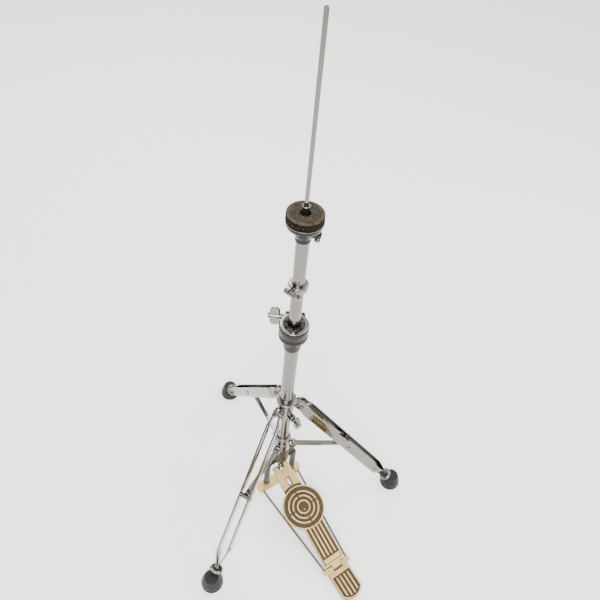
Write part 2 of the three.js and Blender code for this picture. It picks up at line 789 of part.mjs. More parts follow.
// The heel plate lies on the floor; its knuckles and wire ears stand round the hinge axis.
function makeHeelPlate() {
  const shape = new THREE.Shape();
  const arcStart = Math.asin(heelHalf / heelEndRadius);
  const arcCentre = -heelLength + heelEndRadius;
  shape.moveTo(heelHalf, heelFront);
  shape.lineTo(-heelHalf, heelFront);
  shape.lineTo(-heelHalf, arcCentre - heelEndRadius * Math.cos(arcStart));
  shape.absarc(0, arcCentre, heelEndRadius, -Math.PI / 2 - arcStart, -Math.PI / 2 + arcStart, false);
  shape.closePath();
  const plate = raised(shape, -hingeHeight, heelThickness - hingeHeight, 8);
  const top = heelThickness - hingeHeight;
  const ribs = raisedRibs(-heelLength + 8, heelFront - 6, top);
  const knuckles = [-1, 1].flatMap((side) => {
    const knuckleHalf = (heelHalf - tongueHalf - GAP) / 2;
    const middle = side * (tongueHalf + GAP + knuckleHalf);
    const earWide = (earHalf - heelHalf) / 2 + 1;
    const earMiddle = side * (earHalf - earWide);
    const inner = side * (tongueHalf + GAP);
    const outer = side * heelHalf;
    return [
      barX(knuckleRadius, knuckleHalf, middle, 0, 0, 20),
      barX(earRadius, earWide, earMiddle, 0, 0, 20),
      block(
        [Math.min(inner, outer), heelFront - 1, -hingeHeight], [Math.max(inner, outer), 4, 4.4],
      ),
    ];
  });
  const lip = block(
    [-heelHalf + 1, heelFront - 1, -hingeHeight], [heelHalf - 1, boardEdge, heelLipThickness - hingeHeight],
  );
  const hole = barX(hingePinRadius + GAP, heelHalf + CUT, 0, 0, 0);
  const wireHoles = [-1, 1].map((side) => barY(
    wireRadius + GAP, wireInEar / 2 + CUT, side * wireEarX, earRadius + CUT - wireInEar / 2, 0,
  ));
  return cutFrom(joined([plate, lip, ...ribs, ...knuckles]), [hole, ...wireHoles])
    .translate([0, hingeY, hingeHeight]);
}

// A wire runs from the base bar's block, bends at each end and plugs into the heel's ear.
function makeWire(side) {
  const path = new THREE.CurvePath();
  const start = new THREE.Vector3(side * wireX, -barHalfDepth + wireHoleDepth - 4, wireHeight);
  const clearOfBlock = new THREE.Vector3(side * wireX, -barHalfDepth - 4, wireHeight);
  const beforeEar = new THREE.Vector3(side * wireEarX, hingeY + wireStraight, hingeHeight);
  const end = new THREE.Vector3(side * wireEarX, hingeY + earRadius - wireInEar + 1.5, hingeHeight);
  path.add(new THREE.LineCurve3(start, clearOfBlock));
  path.add(new THREE.LineCurve3(clearOfBlock, beforeEar));
  path.add(new THREE.LineCurve3(beforeEar, end));
  return rodAlong(path, wireRadius, 4, 28);
}

function makePedal() {
  node('footboard', makeFootboard(), castCream);
  node('heel_plate', makeHeelPlate(), castCream);
  node('heel_hinge_pin', barX(hingePinRadius, heelHalf - 1, 0, hingeY, hingeHeight), steel);
  node('toe_pin', barX(toePinRadius, toeHalf - 1, 0, toePinY, toePinHeight), steel);
  node('stabiliser_wire_left', makeWire(-1), steel);
  node('stabiliser_wire_right', makeWire(1), steel);
}

// ---- Tripod -------------------------------------------------------------------------------------

function makeCollar() {
  const ringBottom = collarTop - collarRingHeight;
  const body = turned([
    [0, collarSkirtBottom], [collarSkirtRadius, collarSkirtBottom], [collarSkirtRadius, ringBottom],
    [collarRadius, ringBottom + 3], [collarRadius, collarTop - collarLipHeight],
    [collarRadius + collarLip, collarTop - collarLipHeight], [collarRadius + collarLip, collarTop - 1],
    [collarRadius + collarLip - 1, collarTop], [0, collarTop],
  ]);
  const lugHalf = (stripHeadSpacing - stripThickness) / 2 - GAP;
  const lugs = legAngles.map((angle) => joined([
    block([0, -lugHalf, legPivotHeight - earOut], [legPivotRadius, lugHalf, legPivotHeight + earOut]),
    barY(earOut, lugHalf, legPivotRadius, 0, legPivotHeight, 20),
  ]).subtract(barY(legPinRadius + GAP, lugHalf + CUT, legPivotRadius, 0, legPivotHeight))
    .rotate([0, 0, angle]));
  const boss = barX(collarBossRadius, collarBossOut / 2, collarBossOut / 2, 0, collarBoltHeight, 20)
    .rotate([0, 0, collarBoltTurn]);
  const boltHole = barX(
    clampBoltRadius + GAP, collarBossOut, collarBossOut + lowerTubeRadius / 2, 0, collarBoltHeight,
  ).rotate([0, 0, collarBoltTurn]);
  return cutFrom(joined([body, ...lugs, boss]), [
    bar(lowerTubeRadius + GAP, collarSkirtBottom - CUT, collarTop + CUT), boltHole,
  ]);
}

// A strip seen along the leg's plane: offset is its distance from the leg's middle at each depth.
function makeStrip(side) {
  const half = stripThickness / 2;
  const head = stripHeadSpacing / 2;
  const upper = legSpacing / 2;
  const lower = stripEndSpacing / 2;
  const bendStart = -(legLength - stripBendStart);
  const bendEnd = -(legLength - stripBendEnd);
  const crown = stripWidth / 2;
  const middle = [
    [crown, head], [-stripFlareStart, head], [-stripFlareEnd, upper], [bendStart, upper],
    [bendEnd, lower], [-legLength, lower],
  ];
  const across = outline([
    ...middle.map(([along, offset]) => [side * (offset + half), along]),
    ...middle.reverse().map(([along, offset]) => [side * (offset - half), along]),
  ]);
  const ribbon = upright(across, -stripWidth, stripWidth).rotate([0, 0, 90]);
  const face = new THREE.Shape();
  face.moveTo(-crown, bendStart);
  face.lineTo(-stripEndWidth / 2, bendEnd);
  face.lineTo(-stripEndWidth / 2, -legLength - CUT);
  face.lineTo(stripEndWidth / 2, -legLength - CUT);
  face.lineTo(stripEndWidth / 2, bendEnd);
  face.lineTo(crown, bendStart);
  face.lineTo(crown, 0);
  face.absarc(0, 0, crown, 0, Math.PI, false);
  face.closePath();
  const plate = ribbon.intersect(upright(face, -legSpacing, legSpacing, 10));
  const dome = turned([
    [0, -half], [rivetHeadRadius, -half], [rivetHeadRadius, half],
    [rivetShoulderRadius, half + rivetShoulderHeight], [0, half + rivetHeadHeight],
  ], SMALL).rotate([-side * 90, 0, 0]).translate([0, side * upper, -legRivetAlong]);
  return plate.add(dome).subtract(barY(legPinRadius + GAP, legSpacing, 0, 0, 0));
}

// The pin that a leg swings on, with a head outside each strip.
function makeLegPin() {
  const outside = stripHeadSpacing / 2 + stripThickness / 2 + GAP;
  const head = (side) => turned([
    [0, 0], [rivetHeadRadius, 0], [rivetShoulderRadius, rivetShoulderHeight], [0, rivetHeadHeight],
  ], SMALL).rotate([-side * 90, 0, 0]).translate([0, side * outside, 0]);
  return joined([barY(legPinRadius, outside + GAP, 0, 0, 0), head(-1), head(1)]);
}

// The space that the leg's two strips take in its foot, in the leg's own frame.
function stripPocket(clearance, from) {
  const across = stripEndSpacing / 2 + stripThickness / 2 + clearance;
  const wide = stripEndWidth / 2 + clearance;
  return block([-wide, -across, -legLength - clearance], [wide, across, -legLength + from]);
}

function makeFoot() {
  const boot = turned([
    [0, 0], [footSoleRadius - 1.5, 0], [footSoleRadius, 1.5], [footSoleRadius, footSoleHeight],
    [footSoleRadius - 2, footSoleHeight + 2], [footTopRadius + 2, footHeight - 3],
    [footTopRadius, footHeight], [0, footHeight],
  ]).translate([footCircle - legPivotRadius, 0, -legPivotHeight]);
  return boot.subtract(stripPocket(GAP, stripBendEnd).rotate([0, -legTilt / DEG, 0]));
}

function makeFerrule() {
  const low = -legLength + ferruleAlong;
  return bar(ferruleRadius, low, low + ferruleHeight, 24).subtract(stripPocket(GAP, stripBendEnd));
}

function makeLeg(name, angle) {
  const place = turnedGroup(angle);
  const pivot = new THREE.Group();
  pivot.position.set(legPivotRadius, 0, legPivotHeight);
  place.add(pivot);
  const tilt = [0, -legTilt / DEG, 0];
  node(`leg_${name}_strip_a`, makeStrip(-1).rotate(tilt), chrome, pivot);
  node(`leg_${name}_strip_b`, makeStrip(1).rotate(tilt), chrome, pivot);
  node(`leg_${name}_pin`, makeLegPin(), steel, pivot);
  const boot = makeFoot();
  const ferrule = makeFerrule().rotate(tilt);
  node(`leg_${name}_ferrule`, ferrule, chrome, pivot);
  node(`leg_${name}_foot`, boot.subtract(ferruleRoom().rotate(tilt)), rubber, pivot);
}

function ferruleRoom() {
  const low = -legLength + ferruleAlong;
  return bar(ferruleRadius + GAP, low - GAP, low + 4 * ferruleHeight, 24);
}

// The hub has a fork for each strut.
function makeHub() {
  const top = hubBottom + hubHeight;
  const body = turned([
    [0, hubBottom], [hubRadius, hubBottom], [hubRadius, top - 6], [hubRadius - 2, top - 4],
    [hubRadius - 2, top - 1], [hubRadius - 3, top], [0, top],
  ]);
  const inner = strutWidth / 2 + GAP;
  const forks = legAngles.flatMap((angle) => [-1, 1].map((side) => {
    const near = side * inner;
    const far = side * (inner + forkThickness);
    const middle = (near + far) / 2;
    return joined([
      block(
        [0, Math.min(near, far), hubPivotHeight - strutEyeRadius],
        [hubPivotRadius, Math.max(near, far), hubPivotHeight + strutEyeRadius],
      ),
      barY(strutEyeRadius, forkThickness / 2, hubPivotRadius, middle, hubPivotHeight, 20),
    ]).subtract(barY(strutPinRadius + GAP, legSpacing, hubPivotRadius, 0, hubPivotHeight))
      .rotate([0, 0, angle]);
  }));
  return cutFrom(joined([body, ...forks]), [
    bar(lowerTubeRadius + GAP, hubBottom - CUT, top + CUT),
  ]);
}

// A strut is a channel, open below, with an eye at the hub and a cross tube at the leg.
function makeStrut() {
  const half = strutWidth / 2;
  const channel = block([0, -half, -strutHeight / 2], [strutLength, half, strutHeight / 2]).subtract(
    block(
      [2 * strutEyeRadius, -half + strutWall, -strutHeight],
      [strutLength - 2 * strutTubeRadius, half - strutWall, strutHeight / 2 - strutWall],
    ),
  );
  const eye = barY(strutEyeRadius, half, 0, 0, 0, 20);
  const crossTube = barY(strutTubeRadius, stripGap / 2 - GAP, strutLength, 0, 0, 20);
  return joined([channel, eye, crossTube]).subtract(barY(strutPinRadius + GAP, half + CUT, 0, 0, 0));
}

function makeTripod() {
  const shank = collarBossOut - lowerTubeRadius - 2;
  const bolt = wingBolt(
    clampBoltRadius, shank, collarHubLength, collarWingSpan, collarWingWidth, collarWingLean,
  ).translate([collarBossOut + RUN, 0, 0]);
  node('leg_collar', makeCollar(), chrome);
  const boltPlace = turnedGroup(collarBoltTurn);
  const boltMesh = node('collar_wing_bolt', bolt, chrome, boltPlace);
  boltMesh.position.z = collarBoltHeight;
  node('strut_hub', makeHub(), chrome);
  legAngles.forEach((angle, i) => {
    makeLeg(legNames[i], angle);
    const place = turnedGroup(angle);
    const strut = makeStrut()
      .rotate([0, -strutTilt / DEG, 0])
      .translate([hubPivotRadius, 0, hubPivotHeight]);
    node(`strut_${legNames[i]}`, strut, chrome, place);
    const pinHalf = strutWidth / 2 + forkThickness + 2 * GAP;
    const pin = barY(strutPinRadius, pinHalf, hubPivotRadius, 0, hubPivotHeight);
    node(`strut_${legNames[i]}_pin`, pin, steel, place);
  });
}

// ---- Seat for the bottom cymbal -----------------------------------------------------------------

// The neck is pressed on the upper tube; one arm holds the tilt screw, the other the cup's pin.
function makeNeck() {
  const body = turned([
    [0, neckBottom], [neckRadius, neckBottom], [neckRadius - 0.5, neckBottom + 6],
    [neckFlangeRadius, neckTop - 3], [neckFlangeRadius, neckTop], [0, neckTop],
  ]);
  const armTop = neckTop - 2;
  const arm = joined([
    block([0, -tiltArmHalf, armTop - tiltArmHeight], [tiltScrewOffset, tiltArmHalf, armTop]),
    bar(tiltArmHalf, armTop - tiltArmHeight, armTop, 20).translate([tiltScrewOffset, 0, 0]),
  ]);
  const lug = joined([
    block([-tiltPinOffset, -neckLugHalf, neckTop - tiltArmHeight], [0, neckLugHalf, neckTop - 1]),
    barY(neckLugRadius, neckLugHalf, -tiltPinOffset, 0, tiltPinHeight - 0.5, SMALL),
  ]);
  return cutFrom(joined([body, arm, lug]), [
    bar(upperTubeRadius + GAP, neckBottom - CUT, neckTop - 3),
    bar(sleeveRadius + GAP, neckBottom, neckTop + CUT, 20),
    bar(tiltScrewRadius + GAP, neckBottom, neckTop + CUT, SMALL).translate([tiltScrewOffset, 0, 0]),
    barY(tiltPinRadius + GAP, 5, -tiltPinOffset, 0, tiltPinHeight),
  ]);
}

function makeCup() {
  const outer = turned([
    [0, cupBottom], [cupBottomRadius, cupBottom], [feltRadius - cupShoulder, cupBottom + cupShoulder / 2],
    [feltRadius - 1, cupBottom + cupFlare],
    [feltRadius, cupBottom + cupFlare + 2], [feltRadius, cupTop], [0, cupTop],
  ]);
  const hollow = turned([
    [0, cupBottom + cupWall], [cupBottomRadius - cupWall, cupBottom + cupWall],
    [feltRadius - 2 * cupWall, cupTop + CUT], [0, cupTop + CUT],
  ]);
  const knuckles = [-1, 1].map((side) => {
    const near = side * (neckLugHalf + GAP);
    const far = side * (neckLugHalf + GAP + 2 * cupKnuckleHalf);
    const round = barY(
      cupKnuckleRadius, cupKnuckleHalf, -tiltPinOffset, (near + far) / 2, tiltPinHeight, SMALL,
    );
    return round.add(block(
      [-tiltPinOffset - cupKnuckleRadius, Math.min(near, far), tiltPinHeight],
      [-tiltPinOffset + cupKnuckleRadius, Math.max(near, far), cupBottom + cupWall],
    ));
  });
  return cutFrom(joined([outer, ...knuckles]), [
    hollow,
    bar(feltHole, cupBottom - CUT, cupTop + CUT, 24),
    barY(tiltPinRadius + GAP, 8, -tiltPinOffset, 0, tiltPinHeight),
  ]);
}

function makeSeat() {
  const place = turnedGroup(seatTurn);
  node('seat_neck', makeNeck(), blackPaint, place);
  node('seat_cup', makeCup(), blackPaint, place);
  const washer = pipe(feltRadius + washerStand, feltHole, washerBottom, washerBottom + washerThickness);
  node('seat_washer', washer, chrome, place);
  const felt = pipe(feltRadius, feltHole, feltTop - feltThickness, feltTop);
  node('seat_felt', felt, feltGrey, place);
  const sleeveBottom = upperTubeTop + GAP;
  const sleeve = pipe(sleeveRadius, sleeveRadius - sleeveWall, sleeveBottom, sleeveTop, 20);
  node('guide_sleeve', sleeve, blackPaint, place);
  const ring = pipe(ringRadius, sleeveRadius - sleeveWall, sleeveTop + GAP, sleeveTop + ringHeight, 24);
  node('sleeve_ring', ring, chrome, place);
  const pin = barY(tiltPinRadius, 6, -tiltPinOffset, 0, tiltPinHeight);
  node('cup_hinge_pin', pin, steel, place);
  const screw = bar(tiltScrewRadius, tiltScrewBottom, tiltScrewTop, SMALL);
  node('tilt_screw', screw.translate([tiltScrewOffset, 0, 0]), steel, place);
  const knobBottom = tiltScrewBottom - 1;
  const knob = pipe(knobRadius, tiltScrewRadius + GAP, knobBottom, knobBottom + knobHeight, 20);
  node('tilt_knob', knob.translate([tiltScrewOffset, 0, 0]), chrome, place);
}

makeBase();
makeHeightClampGroup();
makeUpperTube();
makeRods();
makeChain();
makeSpring();
makePedal();
makeTripod();
makeSeat();

export default stand;
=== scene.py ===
"""Looks for a hi-hat stand without cymbals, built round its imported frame.

Shapes are worked out in millimetres, in the frame's own axes (+Z up, heel towards -Y), and are
put into each mesh in metres. A shape is a Shell: a grid of points worked out by a formula.
"""

import json
import math

import bmesh
import bpy
import numpy as np
from mathutils import Matrix, Vector


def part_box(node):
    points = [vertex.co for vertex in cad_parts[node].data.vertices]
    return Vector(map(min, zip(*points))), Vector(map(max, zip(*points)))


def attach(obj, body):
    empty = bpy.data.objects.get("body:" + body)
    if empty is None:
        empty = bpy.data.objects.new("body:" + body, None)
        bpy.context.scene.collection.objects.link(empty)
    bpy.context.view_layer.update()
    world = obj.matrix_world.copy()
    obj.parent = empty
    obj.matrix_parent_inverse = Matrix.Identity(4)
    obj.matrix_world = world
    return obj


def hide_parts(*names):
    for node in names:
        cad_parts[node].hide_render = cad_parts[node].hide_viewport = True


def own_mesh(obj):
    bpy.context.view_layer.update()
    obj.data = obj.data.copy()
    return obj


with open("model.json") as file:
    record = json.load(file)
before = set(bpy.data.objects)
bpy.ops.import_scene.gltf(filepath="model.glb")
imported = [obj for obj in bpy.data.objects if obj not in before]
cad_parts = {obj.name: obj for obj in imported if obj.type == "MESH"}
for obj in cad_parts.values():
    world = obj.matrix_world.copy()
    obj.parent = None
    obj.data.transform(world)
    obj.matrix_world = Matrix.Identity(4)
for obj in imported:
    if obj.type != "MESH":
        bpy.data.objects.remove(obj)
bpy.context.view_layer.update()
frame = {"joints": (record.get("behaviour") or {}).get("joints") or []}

bl_info = {
    "name": "Hi-hat stand",
    "version": (1, 0, 0),
    "blender": (4, 5, 0),
    "location": "View3D > Sidebar > Stand",
    "description": "Builds the finished pieces of a hi-hat stand round its frame",
    "category": "Object",
}

MM = 0.001
TAU = 2 * math.pi
GAP = 0.3               # clearance between pieces that touch
ROUND = 96              # sides of a large round piece
SMALL = 40              # sides of a small one
CUT = 2.0               # how far a cutter runs past the face it cuts

# ---- Places read from the frame ------------------------------------------------------------------


def span(node):
    """Lowest and highest corner of a frame node, in millimetres."""
    low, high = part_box(node)
    return np.array(low) / MM, np.array(high) / MM


def heights(node):
    """Bottom and top of a frame node, in millimetres."""
    low, high = span(node)
    return low[2], high[2]


def joint(name):
    """The frame's joint of that name."""
    return next(j for j in frame["joints"] if j["name"] == name)


def pivot(name):
    """A joint's centre, in millimetres."""
    return np.array(joint(name)["pos_m"]) / MM


def heading(name):
    """Compass angle of a joint's centre round the pillar, in degrees from +X."""
    x, y, _ = pivot(name)
    return math.degrees(math.atan2(y, x))


LOWER_TUBE = span("lower_tube")[1][0]
UPPER_TUBE = span("upper_tube")[1][0]
ROD = span("upper_pull_rod")[1][0]
LEGS = ("rear", "right", "left")
LEG_HEADING = {name: heading(f"leg_{name}_fold") for name in LEGS}
LEG_PIVOT = pivot("leg_rear_fold")
LEG_PIVOT_RADIUS = math.hypot(LEG_PIVOT[0], LEG_PIVOT[1])
STRUT_PIVOT = pivot("strut_rear_fold")
STRUT_PIVOT_RADIUS = math.hypot(STRUT_PIVOT[0], STRUT_PIVOT[1])
CLAMP_AXIS = joint("height_bolt_turn")["axis"]
CLAMP_HEADING = math.degrees(math.atan2(-CLAMP_AXIS[0], CLAMP_AXIS[1]))
LOCK_HEADING = heading("memory_bolt_turn")
COLLAR_BOLT_HEADING = heading("collar_bolt_turn")
SEAT_HEADING = heading("tilt_knob_turn")
HINGE = pivot("pedal_press")
TOE_LOW, TOE_HIGH = span("toe_pin")
TOE_PIN = (TOE_LOW + TOE_HIGH) / 2
PEDAL_REST = math.degrees(math.atan2(TOE_PIN[2] - HINGE[2], TOE_PIN[1] - HINGE[1]))
TOE_ALONG = math.hypot(TOE_PIN[2] - HINGE[2], TOE_PIN[1] - HINGE[1])
CLEVIS = pivot("chain_swing")

# ---- Sizes and colours that a user may change ----------------------------------------------------


def length(name, description, default, low=0.0, high=1000.0):
    """A length in millimetres."""
    return bpy.props.FloatProperty(name=name, description=description, default=default, min=low, max=high)


def colour(name, description, default):
    return bpy.props.FloatVectorProperty(
        name=name, description=description, default=default, subtype="COLOR", size=3, min=0.0, max=1.0
    )


class StandSizes(bpy.types.PropertyGroup):
    """Sizes of the stand's finished pieces, in millimetres."""

    tube_wall: length("Tube wall", "Thickness of both tubes' walls", 1.5, 0.5, 3.0)
    thread_pitch: length("Thread pitch", "Distance between the turns of a thread", 1.0, 0.4, 2.0)
    collet_fingers: bpy.props.IntProperty(
        name="Collet fingers", description="Fingers of the height clamp's bushing", default=8, min=2, max=16
    )
    strip_thickness: length("Strip thickness", "Thickness of a leg strip", 3.0, 1.0, 5.0)
    strip_width: length("Strip width", "Width of a leg strip", 22.0, 10.0, 30.0)
    board_thickness: length("Board thickness", "Thickness of the footboard", 6.0, 3.0, 9.0)
    relief: length("Relief", "Height of the raised bars and rings", 1.2, 0.4, 2.0)
    bar_width: length("Bar width", "Width of a raised bar", 3.4, 1.0, 6.0)
    ring_width: length("Ring width", "Width of a raised ring", 3.2, 1.0, 6.0)
    felt_fuzz: length("Felt fuzz", "Height of the felt's nap", 0.35, 0.0, 1.0)
    spring_turns: length("Spring turns", "Turns of the return spring", 7.0, 3.0, 20.0)


class StandColours(bpy.types.PropertyGroup):
    """Colours of the stand's finishes."""

    chrome: colour("Chrome", "Polished plating", (0.20, 0.19, 0.175))
    steel: colour("Steel", "Drawn steel of pins and wires", (0.15, 0.14, 0.125))
    cream: colour("Cream", "Raised faces of the cast pedal", (0.66, 0.475, 0.195))
    # Recess also gives the painted shade on the pedal's sides and underside.
    recess: colour("Recess", "Painted recesses of the pedal", (0.052, 0.029, 0.011))
    iron: colour("Casting", "Dark cast yoke", (0.034, 0.029, 0.022))
    black: colour("Black", "Black paint and nylon", (0.009, 0.0085, 0.008))
    felt: colour("Felt", "Pressed wool", (0.042, 0.038, 0.026))
    # Felt side: a painted shade for the felt's side, much darker than its top.
    felt_side_shade: colour("Felt side", "Side of the felt", (0.0075, 0.0055, 0.0035))
    rubber: colour("Rubber", "Moulded feet", (0.012, 0.012, 0.013))
    chain: colour("Chain", "Browned chain links", (0.055, 0.016, 0.010))
    floor: colour("Floor", "Plain pale floor", (0.86, 0.86, 0.86))


def sizes():
    return bpy.context.scene.stand_sizes


def colours():
    return bpy.context.scene.stand_colours


# ---- Shapes: each is a grid of points worked out by a formula ------------------------------------


class Shell:
    """Points and faces of one closed surface, in millimetres."""

    def __init__(self, points, faces):
        self.points = np.asarray(points, float).reshape(-1, 3)
        self.faces = faces

    def moved(self, x=0.0, y=0.0, z=0.0):
        return Shell(self.points + np.array([x, y, z], float), self.faces)

    def turned(self, degrees, axis="Z"):
        matrix = np.array(Matrix.Rotation(math.radians(degrees), 3, axis))
        return Shell(self.points @ matrix.T, self.faces)

    def mapped(self, rule):
        """The same faces, with the points that rule(x, y, z) gives."""
        return Shell(np.stack(rule(*self.points.T), -1), self.faces)

    def __add__(self, other):
        shift = len(self.points)
        faces = self.faces + [[i + shift for i in face] for face in other.faces]
        return Shell(np.concatenate([self.points, other.points]), faces)


def grid(points, wrap_rows=False, wrap_columns=True, caps=False):
    """A shell from a rows x columns x 3 array: neighbouring points are joined by four-sided faces, the
    last row or column meets the first where it wraps, and caps close the first and last row."""
    rows, columns = points.shape[:2]
    row = np.arange(rows if wrap_rows else rows - 1)[:, None]
    column = np.arange(columns if wrap_columns else columns - 1)[None, :]
    next_row, next_column = (row + 1) % rows, (column + 1) % columns
    corners = [row * columns + column, row * columns + next_column,
               next_row * columns + next_column, next_row * columns + column]
    faces = np.stack(np.broadcast_arrays(*corners), -1).reshape(-1, 4).tolist()
    if caps:
        first = np.arange(columns)
        faces += [first[::-1].tolist(), (first + (rows - 1) * columns).tolist()]
    return Shell(points, faces)


def filleted(points, radius, steps=5, closed=True):
    """Rounds each corner: a quadratic curve from one side to the other, with the corner as its middle
    control point, that starts radius before the corner and never takes over 0.48 of a side."""
    corner = np.asarray(points, float)
    before, after = np.roll(corner, 1, 0) - corner, np.roll(corner, -1, 0) - corner
    reach = np.minimum(np.linalg.norm(before, axis=1), np.linalg.norm(after, axis=1)) * 0.48
    back = np.broadcast_to(np.asarray(radius, float), reach.shape)
    back = np.minimum(back, reach)
    if not closed:
        back = np.where(np.arange(len(corner)) % (len(corner) - 1) == 0, 0, back)
    unit = [v / np.maximum(np.linalg.norm(v, axis=1, keepdims=True), 1e-9) for v in (before, after)]
    start, end = (corner + u * back[:, None] for u in unit)
    t = np.linspace(0, 1, steps)[:, None, None]
    curve = (1 - t) ** 2 * start + 2 * t * (1 - t) * corner + t ** 2 * end
    line = curve.transpose(1, 0, 2).reshape(-1, corner.shape[1])
    step = np.linalg.norm(line - np.roll(line, 1, 0), axis=1)
    keep = step > 1e-6
    keep[0] = True if not closed else keep[0]
    return line[keep]


def revolve(profile, sides=ROUND):
    """The profile (r, z) turned once about Z: x = r cos a, y = r sin a. A profile that starts and ends
    on the axis makes a solid, and any other closes on itself as a ring."""
    radius, height = np.asarray(profile, float).T
    angle = np.arange(sides) * TAU / sides
    points = np.stack([
        np.outer(radius, np.cos(angle)), np.outer(radius, np.sin(angle)),
        np.repeat(height[:, None], sides, 1),
    ], -1)
    solid = abs(radius[0]) < 1e-9 and abs(radius[-1]) < 1e-9
    return grid(points, wrap_rows=not solid)


def turned(corners, edge=0.5, sides=ROUND):
    """A turned solid from (r, z) corners that start and end on the axis, each rounded by edge."""
    return revolve(filleted(corners, edge, closed=False), sides)


def rod(radius, bottom, top, edge=0.4, sides=SMALL):
    """A round bar about Z with rounded ends."""
    return turned([(0, bottom), (radius, bottom), (radius, top), (0, top)], edge, sides)


def pipe(radius, bore, bottom, top, edge=0.4, sides=ROUND):
    """A tube about Z with rounded rims."""
    return revolve(filleted([(bore, bottom), (radius, bottom), (radius, top), (bore, top)], edge), sides)


def along(shell, axis):
    """A shell drawn about Z, laid along X or Y."""
    return shell.turned(90, "Y") if axis == "X" else shell.turned(-90, "X")


def thread(radius, pitch, bottom, top, depth=0.45, sides=SMALL):
    """A screw thread about Z: the radius rises and falls with cos(TAU (z / pitch - a / TAU)), and
    fades out over the first and last turn."""
    rows = max(8, int((top - bottom) / pitch * 8))
    height = np.linspace(bottom, top, rows)[:, None]
    angle = (np.arange(sides) * TAU / sides)[None, :]
    fade = np.clip(np.minimum(height - bottom, top - height) / pitch, 0, 1)
    wide = radius - depth * (1 - fade) - depth * fade * (0.5 - 0.5 * np.cos(TAU * height / pitch - angle))
    points = np.stack(np.broadcast_arrays(wide * np.cos(angle), wide * np.sin(angle), height), -1)
    return grid(points, caps=True)


def inward(outline):
    """Unit normals that point into a counter-clockwise outline, lengthened at its corners."""
    ahead = np.roll(outline, -1, 0) - outline
    ahead /= np.maximum(np.linalg.norm(ahead, axis=1, keepdims=True), 1e-9)
    normal = np.stack([-ahead[:, 1], ahead[:, 0]], -1)
    both = normal + np.roll(normal, 1, 0)
    size = np.maximum(np.linalg.norm(both, axis=1, keepdims=True), 1e-9)
    return both / size * np.minimum(2 / size, 2)


def anticlockwise(outline):
    outline = np.asarray(outline, float)
    x, y = outline.T
    area = np.sum(x * np.roll(y, -1) - y * np.roll(x, -1))
    return outline if area > 0 else outline[::-1]


def slab(outline, bottom, top, edge=0.6, steps=4):
    """An outline in X and Y raised from bottom to top, with quarter-round edges: at a turn q from 0 to
    90 degrees it stands in by edge (1 - sin q), at edge (1 - cos q) from the face."""
    outline = anticlockwise(outline)
    turn = np.linspace(0, math.pi / 2, steps)
    inset = edge * (1 - np.sin(turn))
    rise = edge * (1 - np.cos(turn))
    insets = np.concatenate([inset, inset[::-1]])
    levels = np.concatenate([bottom + rise, top - rise[::-1]])
    flat = outline[None] + insets[:, None, None] * inward(outline)[None]
    level = np.broadcast_to(levels[:, None, None], flat.shape[:2] + (1,))
    return grid(np.concatenate([flat, level], -1), caps=True)


def band(outline, wide, bottom, top, edge=0.4):
    """A rim that follows an outline: a rounded rectangle, wide by top - bottom, carried round it on the
    inner side."""
    outline = anticlockwise(outline)
    section = filleted([(0, bottom), (wide, bottom), (wide, top), (0, top)], edge, 4)
    flat = outline[None] + section[:, 0][:, None, None] * inward(outline)[None]
    level = np.broadcast_to(section[:, 1][:, None, None], flat.shape[:2] + (1,))
    return grid(np.concatenate([flat, level], -1), wrap_rows=True)


def arc(radius, start, end, steps=24, x=0.0, y=0.0):
    """Points of an arc between two angles in degrees."""
    angle = np.radians(np.linspace(start, end, steps))
    return np.stack([x + radius * np.cos(angle), y + radius * np.sin(angle)], -1)


def oblong(half, start, end, steps=14):
    """An outline along Y with half-round ends."""
    return np.concatenate([arc(half, 0, 180, steps, 0, end - half),
                           arc(half, 180, 360, steps, 0, start + half)])


def arc_band(radius, wide, start, end, steps=40):
    """An outline that follows an arc and has half-round ends."""
    half = wide / 2
    mid_start, mid_end = math.radians(start), math.radians(end)
    tip = arc(half, end, end + 180, 8, radius * math.cos(mid_end), radius * math.sin(mid_end))
    tail = arc(half, start + 180, start + 360, 8, radius * math.cos(mid_start), radius * math.sin(mid_start))
    outer, inner = arc(radius + half, start, end, steps), arc(radius - half, end, start, steps)
    return np.concatenate([outer[1:-1], tip, inner[1:-1], tail])


def rectangle(x0, x1, y0, y1, corner=1.0):
    """An outline with four rounded corners."""
    return filleted([(x0, y0), (x1, y0), (x1, y1), (x0, y1)], corner)


def block(low, high, corner=1.0, edge=0.6):
    """A block between two corners with every edge rounded."""
    return slab(rectangle(low[0], high[0], low[1], high[1], corner), low[2], high[2], edge)


def upright(outline, back, front, edge=0.6):
    """An outline in X and Z given a thickness from y = back to y = front."""
    return slab(outline, -front, -back, edge).turned(90, "X")


def carried(section, path, up=(0.0, 0.0, 1.0)):
    """A closed section (u, v) carried along a path: each point is the path's own point plus u across it
    and v upwards, square to its direction. Both ends are capped."""
    path = np.asarray(path, float)
    ahead = np.gradient(path, axis=0)
    ahead /= np.linalg.norm(ahead, axis=1, keepdims=True)
    across = np.cross(ahead, np.asarray(up, float))
    across /= np.linalg.norm(across, axis=1, keepdims=True)
    above = np.cross(across, ahead)
    section = np.asarray(section, float)
    points = path[:, None] + section[None, :, :1] * across[:, None] + section[None, :, 1:] * above[:, None]
    return grid(points, caps=True)


# ---- Pieces --------------------------------------------------------------------------------------


def mesh_from(name, shell):
    """Puts a shell into a new mesh in metres, with its poles merged and its faces pointing out."""
    mesh = bpy.data.meshes.new(name)
    mesh.from_pydata((shell.points * MM).tolist(), [], shell.faces)
    work = bmesh.new()
    work.from_mesh(mesh)
    bmesh.ops.remove_doubles(work, verts=work.verts, dist=2e-7)
    bmesh.ops.dissolve_degenerate(work, dist=1e-7, edges=work.edges)
    bmesh.ops.recalc_face_normals(work, faces=work.faces)
    work.to_mesh(mesh)
    work.free()
    return mesh


def loose_object(name, shell):
    made = bpy.data.objects.new(name, mesh_from(name, shell))
    bpy.context.scene.collection.objects.link(made)
    return made


